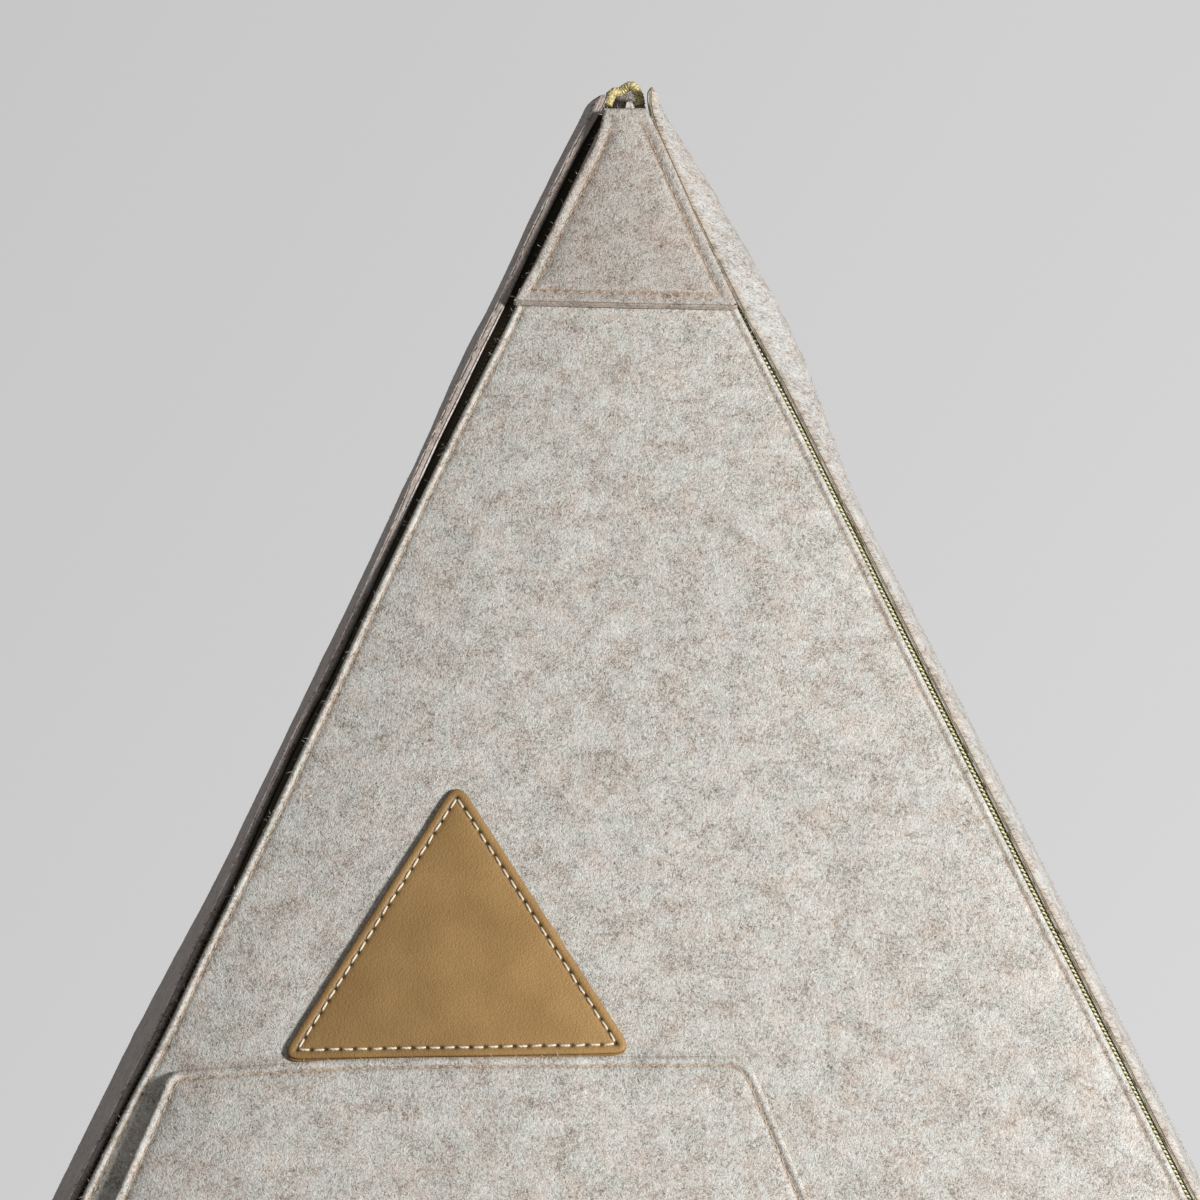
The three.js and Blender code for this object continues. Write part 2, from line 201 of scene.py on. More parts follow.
# Zip
COIL_PITCH, COIL_WIRE, COIL_TOP = 1.4, 0.33, 9.0
COIL_ARCH, COIL_SLANT, SIDE_SUNK = 0.8, 0.35, 0.8  # the side panel's half lies that much deeper
WIRE_TAPER = (0.8, 1.05, 1.15, 1.1, 0.8)  # along each half turn
TAPE, TAPE_FRONT, TAPE_SIDE, TAPE_TOP_BELOW = 0.8, 12.0, 11.0, 9.5
LOOP_ROUTE = (
    (-4.8, 3.2, -6.9),
    (-4.1, 3.3, -5.0),
    (-2.9, 3.8, -3.1),
    (-1.0, 4.6, -2.9),
    (0.8, 4.2, -1.7),
    (2.4, 3.6, -1.2),
    (3.9, 3.3, -2.6),
    (4.7, 3.2, -4.6),
    (5.1, 3.2, -6.9),
)
LOOP_RADIUS, LOOP_RIB, LOOP_FLAT, RIB_PITCH = 1.25, 0.22, 0.8, 0.62 * COIL_PITCH
LOOP_RINGS, LOOP_SIDES = 150, 14


def seam_columns(rows):
    """Each column as a smooth function of the slope distance."""
    table = np.array(rows, float)
    fine = np.arange(-40.0, HEM_S + 40, 1.0)
    kernel = np.exp(-0.5 * (np.arange(-20, 21) / SOFTENING) ** 2)
    kernel /= kernel.sum()
    columns = {}
    for i, name in enumerate(SEAM_COLUMNS[1:], 1):
        raw = np.interp(fine, table[:, 0], table[:, i])
        smooth = np.convolve(np.pad(raw, 20, mode="edge"), kernel, mode="valid")
        columns[name] = lambda s, y=smooth: np.interp(s, fine, y)
    return columns


for row in SIDES.values():
    row["at"] = seam_columns(row["rows"])


def edge_across(row, s):
    """Half width out to the front panel's edge."""
    return half_across(height_at(s)) - row["at"]["drawn_in"](s)


def inner_across(row, s):
    """Half width out to a side panel's inner face at its front edge."""
    return edge_across(row, s) + row["at"]["gap"](s)


def lumps(a, s, size, seed):
    """Soft unevenness between -1 and 1, about size across."""
    draw = np.random.default_rng(seed)
    total = np.zeros_like(np.asarray(a, float))
    count = 9
    for _ in range(count):
        turn = draw.uniform(0, 2 * np.pi)
        pace = 2 * np.pi / size * draw.uniform(0.55, 1.3)
        total += np.sin(pace * (a * math.cos(turn) + s * math.sin(turn)) + draw.uniform(0, 2 * np.pi))
    return total / math.sqrt(count)


# The front panel's middle stands proud of its sewn borders, most of all low on the left
PUFF_ROWS = (
    (0, 0.6, 0.5), (60, 1.6, 0.8), (150, 2.8, 0.9), (250, 5.0, 0.9), (330, 6.0, 0.9), (HEM_S, 2.0, 0.9),
)
PUFF_LENGTH = {"left": 32.0, "right": 5.5}
FRONT_INSET = {"left": 2.0, "right": 2.3}
SWAY, SWAY_ACROSS = 0.3, 65.0
RIPPLE, RIPPLE_ACROSS = 0.13, 26.0
SHIFT_SHARE = 0.38  # a point seems this much higher in the photograph for how much further it stands out
HEM_TURN = 60  # along the slope, over which the front panel's thickness turns from level to square
CALM_ACROSS, CALM_UP = 30, 40  # over which the front panel's unevenness begins, from its borders and its hem


def front_puff(a, s):
    table = np.array(PUFF_ROWS).T
    total = np.zeros_like(a + s)
    for number, (name, sign) in enumerate((("left", 1), ("right", -1)), 1):
        inset = (edge_across(SIDES[name], s) + sign * a) * EDGE_COS - FRONT_INSET[name]
        most = np.interp(s, table[0], table[number])
        total = total + most * (1 - np.exp(-np.maximum(0, inset) / PUFF_LENGTH[name]))
    inside = half_across(height_at(s)) - np.abs(a)
    calm = np.clip(inside / CALM_ACROSS, 0, 1) * np.clip((HEM_S - s) / CALM_UP, 0, 1)
    sway = SWAY * lumps(a, s, SWAY_ACROSS, 3) + RIPPLE * lumps(a, s, RIPPLE_ACROSS, 4)
    return total + calm * sway


def front_bow(a, s):
    """How far the front panel's face stands out past the ideal plane."""
    z = height_at(s)
    blunt = half_deep(z) - half_ideal(z)
    return blunt + bow_out(a, z, half_across(z), FRONT_BOW * up_share(z))


def on_front(a, s, out):
    z = height_at(s)
    return np.stack([a, -(half_ideal(z) + front_bow(a, s) + front_puff(a, s) + out), z], -1)


def cut_square(line, top):
    """An outline drawn square to the slope, as the solids are cut, moved to where it meets a face at top."""
    line = line.copy()
    a, drawn = line[:, 0], line[:, 1].copy()
    for _ in range(3):
        s = line[:, 1]
        puff = front_puff(a, s)
        line[:, 1] = drawn + SHIFT_SHARE * puff - math.sin(LEAN) * (front_bow(a, s) + puff + top)
    return line


def through_front(thickness):
    """Moves a face's points to the face behind it: square to the slope, but level at the lower edge."""

    def move(points, s):
        square = np.clip((HEM_S - s) / HEM_TURN, 0, 1)[:, None]
        back = np.array([0, math.cos(LEAN), -math.sin(LEAN)]) * thickness * math.cos(LEAN)
        return points + square * back + (1 - square) * np.array([0, thickness, 0])

    return move


def on_side(row):
    """Placing for a side panel: a is the depth from front to back, and out is level from its inner face."""

    def place(a, s, out):
        z = height_at(s)
        column = {name: at(s) for name, at in row["at"].items()}
        front = column["recess"] - half_deep(z)
        length = half_deep(z) - front
        back = np.maximum(0, a - front)
        share = np.clip(back / length, 0, 1)
        inner = (1 - share) * inner_across(row, s) + share * (half_across(z) + column["rear"])
        ramp = 1 - bell(back, SWELL_LENGTH)
        swell = column["swell"] * ramp * (1 - share**2)
        belly = bow_out(row["side"] * a, z, half_deep(z), column["belly"])
        lean = row["flare"] * np.exp(-s / FLARE_LENGTH)
        return np.stack([row["side"] * (inner + swell + belly + lean + out), a, z], -1)

    return place


def on_back(a, s, out):
    z = height_at(s)
    bowed = bow_out(-a, z, half_across(z) + BACK_SEAM, BACK_BOW * up_share(z))
    return np.stack([a, half_deep(z) + bowed + out, z], -1)


def on_floor(a, s, out):
    return np.stack([a, s, out + 0 * a], -1)


# Outlines as rows of a, s, flare, sewn: flare is how far the edge that starts there bends up off what it lies
# on, and sewn is 1 where a line of stitches follows it
OUTLINE_STEP = 2.0
CELL = 24.0  # squares of cloth whose points are searched together
EDGE_MARGIN = 14.0  # more than twice the longest step between an outline's points
EDGE_FIBRES = 1.1  # fibres for each point of an outline, times the density on the face
SLIVER = 0.001  # triangles with less than half this area lie on a straight edge and are left out


def rounded(corners, flares, sewn):
    """An outline with rounded corners. flares and sewn are for the edge that starts at each corner."""
    rows = []
    count = len(corners)
    for i, (a, s, radius) in enumerate(corners):
        at = np.array([a, s], float)
        before = np.array(corners[i - 1][:2], float) - at
        after = np.array(corners[(i + 1) % count][:2], float) - at
        start, end = at + unit(before) * radius, at + unit(after) * radius
        for t in np.linspace(0, 1, 9):
            point = (1 - t) ** 2 * start + 2 * t * (1 - t) * at + t**2 * end
            mix = (1 - t) * np.array([flares[i - 1], sewn[i - 1]]) + t * np.array([flares[i], sewn[i]])
            rows.append([*point, *mix])
    return np.array(rows)


def resampled(rows, step, closed=True):
    """The same line with points an even step apart."""
    path = np.vstack([rows, rows[:1]]) if closed else rows
    along = np.concatenate([[0], np.cumsum(np.hypot(*np.diff(path[:, :2], axis=0).T))])
    count = max(4, round(along[-1] / step))
    places = np.linspace(0, along[-1], count + 1)
    if closed:
        places = places[:-1]
    return np.stack([np.interp(places, along, path[:, i]) for i in range(path.shape[1])], 1)


def slope_rows(start, end):
    """Slope distances for a wall's edge: closer together near the tip."""
    return start + (end - start) * np.linspace(0, 1, 90) ** 1.5


def edge_rows(a, s, flare, sewn):
    return np.stack([a, s, np.full_like(s, flare), np.full_like(s, sewn)], 1)


def signed_area(loop):
    a, s = loop[:, 0], loop[:, 1]
    return 0.5 * (np.dot(a, np.roll(s, -1)) - np.dot(s, np.roll(a, -1)))


def inside_of(points, loop):
    """Which points lie inside a closed line."""
    found = np.zeros(len(points), bool)
    for (a0, s0), (a1, s1) in zip(loop[:, :2], np.roll(loop[:, :2], -1, 0)):
        if s0 == s1:
            continue
        crosses = (s0 > points[:, 1]) != (s1 > points[:, 1])
        found ^= crosses & (points[:, 0] < a0 + (points[:, 1] - s0) * (a1 - a0) / (s1 - s0))
    return found


def nearest_on(points, loops):
    """For each point: distance to the nearest edge, and that edge's flare and sewn share there."""
    start = np.vstack(loops)
    end = np.vstack([np.roll(loop, -1, 0) for loop in loops])
    step = end[:, :2] - start[:, :2]
    size = np.maximum((step**2).sum(1), 1e-9)
    best = np.zeros(len(points))
    facts = np.zeros((len(points), 2))
    cells = np.floor(points / CELL).astype(int)
    _, group = np.unique(cells, axis=0, return_inverse=True)
    order = np.argsort(group.ravel(), kind="stable")
    for rows in np.split(order, np.flatnonzero(np.diff(group.ravel()[order])) + 1):
        part = points[rows]
        centre = part.mean(0)
        reach = np.hypot(*(part - centre).T).max()
        far = np.hypot(*(start[:, :2] - centre).T)
        near = np.flatnonzero(far <= far.min() + 2 * reach + EDGE_MARGIN)
        apart = part[:, None] - start[None, near, :2]
        t = np.clip((apart * step[near]).sum(2) / size[near], 0, 1)
        gone = np.hypot(*np.moveaxis(apart - t[..., None] * step[near], 2, 0))
        i = gone.argmin(1)
        picked = np.arange(len(part))
        mix, i_at = t[picked, i], near[i]
        best[rows] = gone[picked, i]
        facts[rows] = start[i_at, 2:] * (1 - mix)[:, None] + end[i_at, 2:] * mix[:, None]
    return best, facts


def inward_normals(loop):
    """Unit normals in the cloth's plane that point into a loop."""
    tangent = unit(np.roll(loop[:, :2], -1, 0) - np.roll(loop[:, :2], 1, 0))
    normal = np.stack([-tangent[:, 1], tangent[:, 0]], 1)
    return normal if signed_area(loop) > 0 else -normal


def new_object(name, points, faces, material, smooth=True):
    """A mesh object from points in millimetres."""
    mesh = bpy.data.meshes.new(name)
    mesh.from_pydata((np.asarray(points) * M).tolist(), [], faces)
    mesh.validate()
    if smooth:
        mesh.shade_smooth()
    mesh.materials.append(material)
    made = bpy.data.objects.new(name, mesh)
    bpy.context.scene.collection.objects.link(made)
    return made


def belongs(piece):
    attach(piece, "root")


def add_attribute(made, name, values):
    """A value or a vector for each point of a mesh, for the materials to read."""
    kind, field = ("FLOAT_VECTOR", "vector") if values.ndim == 2 else ("FLOAT", "value")
    layer = made.data.attributes.new(name, kind, "POINT")
    layer.data.foreach_set(field, np.asarray(values, np.float32).ravel())


RINGS = (0.03, 0.12, 0.3, 0.55, 0.85, 1.2, 1.7, 2.2, 2.7, 3.3, 4.3, 6.0, 8.5)
INNER_RINGS = (0.1, 0.4, 1.0, 1.7, 2.6, 4.5)
WALL_SHARES = (0.25, 0.5, 0.75)  # how deep the rows of points on a cut edge lie
CUT_BULGE, CUT_SHADE = 0.12, 0.7  # how far a cut edge stands out, and how far in from it the cloth is shaded
UNEVEN_SIZE, UNEVEN_MARGIN = 13.0, 6.0
NEEDLE_REACH, NEEDLE_WIDTH = 2.2, 0.9  # a needle's pull on the cloth
# Widths of the painted shade along a stitch groove and of the painted shade in a needle hole
GROOVE_SHADE_WIDTH, HOLE_WIDTH = 0.4, 0.5


def edge_round(gone, radius):
    """How much a rounded edge has dropped, gone millimetres in from it."""
    return radius - np.sqrt(np.maximum(0, radius**2 - np.maximum(0, radius - gone) ** 2))


@dataclass
class Sheet:
    """A piece cut from flat cloth: its outline and holes, its edges' relief, and where it lies in space."""

    place: object  # turns points of the cloth into points in space
    outline: object
    top: float  # the outer face, above the surface that the cloth lies on
    thickness: float
    holes: tuple = ()
    through: object = None  # moves a point of the outer face to the inner one, where that isn't straight in
    step: float = OUTLINE_STEP
    rings: tuple = RINGS
    spacing: float = 5.0
    inset: float = 2.3  # of the stitches, from the edge
    pitch: float = 3.8  # of the stitches
    groove: float = 0.7  # how deep the stitches press the outer face
    groove_width: float = 0.8
    roll: float = 0.0  # how far the border outside the stitches stands up
    puff: float = 0.0  # how far the cloth inside the stitches stands up
    puff_length: float = 5.0
    uneven: float = 0.12
    round_off: float = 1.1
    inner_round: tuple = ((0,), (0.6,))  # slope distances, and the inner edge's rounding there
    inner_reach: float = 1.0  # how many times wider than deep the inner edge's rounding is
    seed: int = 1

    def __post_init__(self):
        self.loops = [resampled(line, self.step) for line in (self.outline, *self.holes)]
        self.inward = [inward_normals(loop) * (-1 if i else 1) for i, loop in enumerate(self.loops)]
        self.lines = self.stitch_lines()
        needles = [point for line in self.lines for point in line[:, :2]]
        self.needles = KDTree(max(1, len(needles)))
        for i, point in enumerate(needles or [(1e4, 1e4)]):
            self.needles.insert((*point, 0), i)
        self.needles.balance()

    def covers(self, points):
        """Which points lie on the cloth."""
        inside = inside_of(points, self.loops[0])
        for hole in self.loops[1:]:
            inside &= ~inside_of(points, hole)
        return inside

    def needle_distance(self, points, asked):
        found = np.full(len(points), 9.0)
        for i in np.flatnonzero(asked):
            found[i] = self.needles.find((*points[i], 0))[2]
        return found

    def relief(self, a, s):
        """How far the whole cloth bends up, and how much its outer face is sunk, at points of the cloth."""
        points = np.stack([a, s], 1)
        gone, facts = nearest_on(points, self.loops)
        flare, sewn = facts.T
        past = gone - self.inset
        bend = np.maximum(0, flare) * np.maximum(0, -past / self.inset) ** 1.3
        bend += self.puff * (1 - sewn * np.exp(-np.maximum(0, past) / self.puff_length))
        bend += self.uneven * lumps(a, s, UNEVEN_SIZE, self.seed) * np.clip(gone / UNEVEN_MARGIN, 0.15, 1)
        apart = self.needle_distance(points, (sewn > 0) & (np.abs(past) < NEEDLE_REACH))
        tight = 0.6 + 0.4 * bell(apart, NEEDLE_WIDTH)
        sunk = sewn * self.groove * tight * bell(past, self.groove_width)
        sunk -= self.roll * bell(gone - 0.48 * self.inset, 0.36 * self.inset)
        sunk += np.maximum(0, -flare) * np.maximum(0, 1 - gone / (2.4 * self.inset))
        sunk += edge_round(gone, self.round_off)
        return bend, sunk

    def outer(self, a, s):
        bend, sunk = self.relief(a, s)
        return self.place(a, s, self.top + bend - sunk)

    def inner(self, a, s):
        bend, _ = self.relief(a, s)
        gone, _ = nearest_on(np.stack([a, s], 1), self.loops)
        bend = bend + edge_round(gone / self.inner_reach, np.interp(s, *self.inner_round))
        if self.through is not None:
            return self.through(self.place(a, s, self.top + bend), s)
        return self.place(a, s, self.top - self.thickness + bend)

    def cloth_points(self, rings, spacing):
        """Points on the flat cloth: the loops first, then rings inside them, then an even field."""
        edge = np.vstack([loop[:, :2] for loop in self.loops])
        widest = min(rings[-1] + 1.5, 1.6 * spacing + 2.4)
        rings = [gone for gone in rings if gone < widest]
        found = []
        least = []
        for loop, into in zip(self.loops, self.inward):
            for gone in rings:
                found.append(loop[:, :2] + into * gone)
                least.append(np.full(len(loop), 0.93 * gone))
        low, high = edge.min(0), edge.max(0)
        across = np.arange(low[0], high[0], spacing)
        down = np.arange(low[1], high[1], spacing * 0.866)
        field = np.array([[x + (j % 2) * spacing / 2, y] for j, y in enumerate(down) for x in across])
        points = np.vstack([*found, field])
        least = np.concatenate([*least, np.full(len(field), rings[-1] + 0.45 * spacing)])
        inside = self.covers(points)
        points, least = points[inside], least[inside]
        gone, _ = nearest_on(points, self.loops)
        return edge, points[gone >= least]

    def triangles(self, edge, points):
        """Triangles between the points, without those outside the cloth."""
        ties = []
        first = 0
        for loop in self.loops:
            ties += [(first + i, first + (i + 1) % len(loop)) for i in range(len(loop))]
            first += len(loop)
        flat = [Vector(p) for p in np.vstack([edge, points]).tolist()]
        made, _, faces, origin, _, _ = delaunay_2d_cdt(flat, ties, [], 0, 1e-7)
        made = np.array([tuple(v) for v in made])
        place_of = np.zeros(len(flat), int)
        for new, old in enumerate(origin):
            place_of[list(old)] = new
        faces = np.array([f for f in faces if len(f) == 3])
        faces = faces[self.covers(made[faces].mean(1))]
        p, q, r = (made[faces[:, i]] for i in range(3))
        turn = (q - p)[:, 0] * (r - p)[:, 1] - (q - p)[:, 1] * (r - p)[:, 0]
        solid = np.abs(turn) > SLIVER
        faces, turn = faces[solid], turn[solid]
        faces[turn < 0] = faces[turn < 0][:, ::-1]
        return made, faces, place_of

    def build(self, name, material, roughness=0.1):
        """The closed mesh: an outer face, an inner face and the cut edge between them."""
        flat, faces, place_of = self.triangles(*self.cloth_points(self.rings, self.spacing))
        under, under_faces, under_of = self.triangles(*self.cloth_points(INNER_RINGS, 1.7 * self.spacing))
        count = len(flat)
        outer, inner = self.outer(*flat.T), self.inner(*under.T)
        parts = [outer, inner]
        cloth = [
            np.hstack([points, np.full((len(points), 1), deep)])
            for points, deep in ((flat, 0.0), (under, -self.thickness))
        ]
        gone, facts = nearest_on(flat, self.loops)
        cut = [0.7 * np.clip(1 - gone / CUT_SHADE, 0, 1), np.zeros(len(under))]
        cells = [faces, under_faces[:, ::-1] + count]
        draw = np.random.default_rng(self.seed)
        offset = count + len(under)
        first = 0
        for loop, into in zip(self.loops, self.inward):
            size = len(loop)
            ids = place_of[first : first + size]
            under_ids = under_of[first : first + size]
            rings = [ids]
            for share in WALL_SHARES:
                bulge = CUT_BULGE * math.sin(math.pi * share) + roughness * draw.normal(0, 0.5, size)
                moved = flat[ids] - into * bulge[:, None]
                deep = (1 - share) * outer[ids] + share * inner[under_ids]
                shift = self.place(moved[:, 0], moved[:, 1], 0) - self.place(flat[ids, 0], flat[ids, 1], 0)
                parts.append(deep + shift)
                cloth.append(np.stack([moved[:, 0], moved[:, 1], np.full(size, -share * self.thickness)], 1))
                cut.append(np.ones(size))
                rings.append(offset + np.arange(size))
                offset += size
            rings.append(under_ids + count)
            for upper, lower in zip(rings, rings[1:]):
                after_u, after_l = np.roll(upper, -1), np.roll(lower, -1)
                cells.append(np.stack([upper, lower, after_l], 1))
                cells.append(np.stack([upper, after_l, after_u], 1))
            first += size
        faces = np.vstack(cells)
        made = new_object(name, np.vstack(parts), faces.tolist(), material)
        cloth = np.vstack(cloth)
        # Painted shade along each stitch groove, for the materials to read
        groove_shade = np.zeros(len(cloth))
        groove_shade[:count] = np.minimum(1, 1.7 * facts[:, 1]) * bell(gone - self.inset, GROOVE_SHADE_WIDTH)
        top = cloth[:, 2] > -0.01
        # Needle holes are not cut: a dark spot of painted shade marks each one
        hole = np.minimum(1, 1.8 * bell(self.needle_distance(cloth[:, :2], top), HOLE_WIDTH)) * top
        facts = {"groove_shade": groove_shade, "cloth": cloth, "cut": np.concatenate(cut), "hole": hole}
        for each, values in facts.items():
            add_attribute(made, each, values)
        turn_outwards(made)
        return made

    def area(self):
        whole, *holes = (abs(signed_area(loop)) for loop in self.loops)
        return (whole - sum(holes)) * M * M

    def size(self):
        edge = self.loops[0][:, :2]
        return tuple(float(x) * M for x in np.ptp(edge, axis=0))

    def stitch_lines(self):
        """The sewn lines, each as points a pitch apart on the cloth."""
        lines = []
        for loop, into in zip(self.loops, self.inward):
            path = np.hstack([loop[:, :2] + into * self.inset, loop[:, 2:]])
            gone, _ = nearest_on(path[:, :2], self.loops)
            good = (loop[:, 3] > 0.5) & (gone > 0.93 * self.inset)
            if good.all():
                lines.append(resampled(path, self.pitch))
                continue
            start = int(np.argmin(good))
            path, good = np.roll(path, -start, 0), np.roll(good, -start)
            edges = np.flatnonzero(np.diff(np.concatenate([[0], good.astype(int), [0]])))
            for low, high in zip(edges[::2], edges[1::2]):
                if high - low > 3:
                    lines.append(resampled(path[low:high], self.pitch, closed=False))
        return lines


def turn_outwards(made):
    """Turns the faces of a closed mesh outwards."""
    shape = bmesh.new()
    shape.from_mesh(made.data)
    if shape.calc_volume(signed=True) < 0:
        made.data.flip_normals()
    shape.free()


def tube_faces(rings, sides):
    """The faces of a closed tube whose points run round one ring after another."""
    faces = []
    for i in range(rings - 1):
        for j in range(sides):
            k = (j + 1) % sides
            faces.append((i * sides + j, i * sides + k, (i + 1) * sides + k, (i + 1) * sides + j))
    return faces + [tuple(range(sides))[::-1], tuple((rings - 1) * sides + j for j in range(sides))]


def tube_mesh(centres, sideways, upwards, radii, sides):
    """Many closed tubes at once. The arrays are tubes by rings by 3, and radii is tubes by rings."""
    tubes, rings = radii.shape
    angle = np.arange(sides) / sides * 2 * np.pi
    across, up = np.cos(angle)[None, None, :, None], np.sin(angle)[None, None, :, None]
    ring = across * sideways[:, :, None] + up * upwards[:, :, None]
    points = centres[:, :, None] + ring * radii[:, :, None, None]
    each = tube_faces(rings, sides)
    every = [tuple(x + tube * rings * sides for x in face) for tube in range(tubes) for face in each]
    return points.reshape(-1, 3), every


NUDGE = 0.01  # a step along the cloth or off it, from which a direction is taken
END_SINK = 0.5  # how deep a stitch's ends dip into the cloth
STRAY, STRAY_TURN = 0.06, 0.05  # how far a stitch strays from its place, and how much it turns


def stitches(name, sheets, material, thread=0.18, reach=0.62, rise=0.02, sides=5, rings=6):
    """Every stitch of some sheets as one mesh: short bent lengths of thread that dip into the cloth."""
    share = np.linspace(-1, 1, rings)
    centres, sideways, upwards, radii = [], [], [], []
    draw = np.random.default_rng(7)
    for sheet in sheets:
        for line in sheet.lines:
            closed = np.hypot(*(line[0, :2] - line[-1, :2])) < 1.5 * sheet.pitch
            after = np.roll(line[:, :2], -1, 0) if closed else line[1:, :2]
            before = line[:, :2] if closed else line[:-1, :2]
            middle, step = (before + after) / 2, after - before
            step *= reach / 2
            middle = middle + draw.normal(0, STRAY, middle.shape)
            turn = draw.normal(0, STRAY_TURN, len(step))
            step = np.stack([step[:, 0] - turn * step[:, 1], step[:, 1] + turn * step[:, 0]], 1)
            spots = middle[:, None] + share[None, :, None] * step[:, None]
            flat = spots.reshape(-1, 2).T
            lift = np.tile(rise * (1 - share**2) - END_SINK * share**6, len(middle))
            bend, sunk = sheet.relief(*np.repeat(middle, rings, 0).T)
            at = sheet.place(*flat, sheet.top + bend - sunk + lift)
            level_at = sheet.place(*flat, 0)
            forward = sheet.place(flat[0] + NUDGE, flat[1], 0) - level_at
            downward = sheet.place(flat[0], flat[1] + NUDGE, 0) - level_at
            normal = np.cross(forward, downward)
            out = sheet.place(*flat, NUDGE) - level_at
            normal = unit(normal * np.sign((normal * out).sum(1))[:, None]).reshape(-1, rings, 3)
            centres.append(at.reshape(-1, rings, 3))
            sideways.append(unit(np.cross(np.gradient(centres[-1], axis=1), normal)))
            upwards.append(normal)
            taper = np.sqrt(np.maximum(0.05, 1 - (0.93 * share) ** 8))
            radii.append(np.tile(thread * taper, (len(middle), 1)))
    centres, sideways, upwards, radii = map(np.concatenate, (centres, sideways, upwards, radii))
    points, faces = tube_mesh(centres, sideways, upwards, radii, sides)
    return new_object(name, points, faces, material)


FIBRE_LENGTH, FIBRE_HALF = (0.6, 2.2), (0.035, 0.06)  # shortest and longest, thinnest and thickest half width


def fuzz(name, sheets, material, density, rise, seed):
    """Loose fibres that stand off some sheets' outer faces and cut edges: thin ribbons bent once."""
    draw = np.random.default_rng(seed)
    parts, tones = [], []
    for sheet in sheets:
        edge = sheet.loops[0][:, :2]
        low, high = edge.min(0), edge.max(0)
        spots = draw.uniform(low, high, (int(density * np.prod(high - low)), 2))
        spots = spots[sheet.covers(spots)]
        angle = draw.uniform(0, 2 * np.pi, len(spots))
        heading = np.stack([np.cos(angle), np.sin(angle)], 1)
        bend, sunk = sheet.relief(*spots.T)
        height = sheet.top + bend - sunk - 0.15
        for loop, into in zip(sheet.loops, sheet.inward):
            pick = draw.integers(0, len(loop), int(EDGE_FIBRES * len(loop) * density))
            bend, _ = sheet.relief(*loop[pick, :2].T)
            turned = draw.normal(0, 0.6, (len(pick), 2)) - into[pick]
            spots = np.vstack([spots, loop[pick, :2]])
            heading = np.vstack([heading, unit(turned)])
            deep = draw.uniform(0.25, 0.9, len(pick)) * sheet.thickness
            height = np.concatenate([height, sheet.top + bend - deep])
        count = len(spots)
        length = draw.uniform(*FIBRE_LENGTH, count)[:, None]
        side = np.stack([-heading[:, 1], heading[:, 0]], 1)
        thin = draw.uniform(*FIBRE_HALF, count)[:, None]
        lift = rise * draw.random(count) ** 1.5
        middle = spots + heading * length * 0.5 + side * draw.normal(0, 0.15, (count, 1))
        tip = middle + heading * length * 0.5 + side * draw.normal(0, 0.35, (count, 1))
        bent = height + 0.15 + 0.7 * lift
        rows = (
            (spots - side * thin, height),
            (spots + side * thin, height),
            (middle - side * thin, bent),
            (middle + side * thin, bent),
            (tip, height + 0.1 + lift),
        )
        parts.append(np.stack([sheet.place(*spot.T, up) for spot, up in rows], 1).reshape(-1, 3))
        tones.append(np.repeat(draw.random(count), 5))
    points = np.vstack(parts)
    first = np.arange(len(points) // 5)[:, None] * 5
    faces = (first + [0, 1, 3, 2]).tolist() + (first + [2, 3, 4]).tolist()
    made = new_object(name, points, faces, material)
    add_attribute(made, "tone", np.concatenate(tones))
    return made


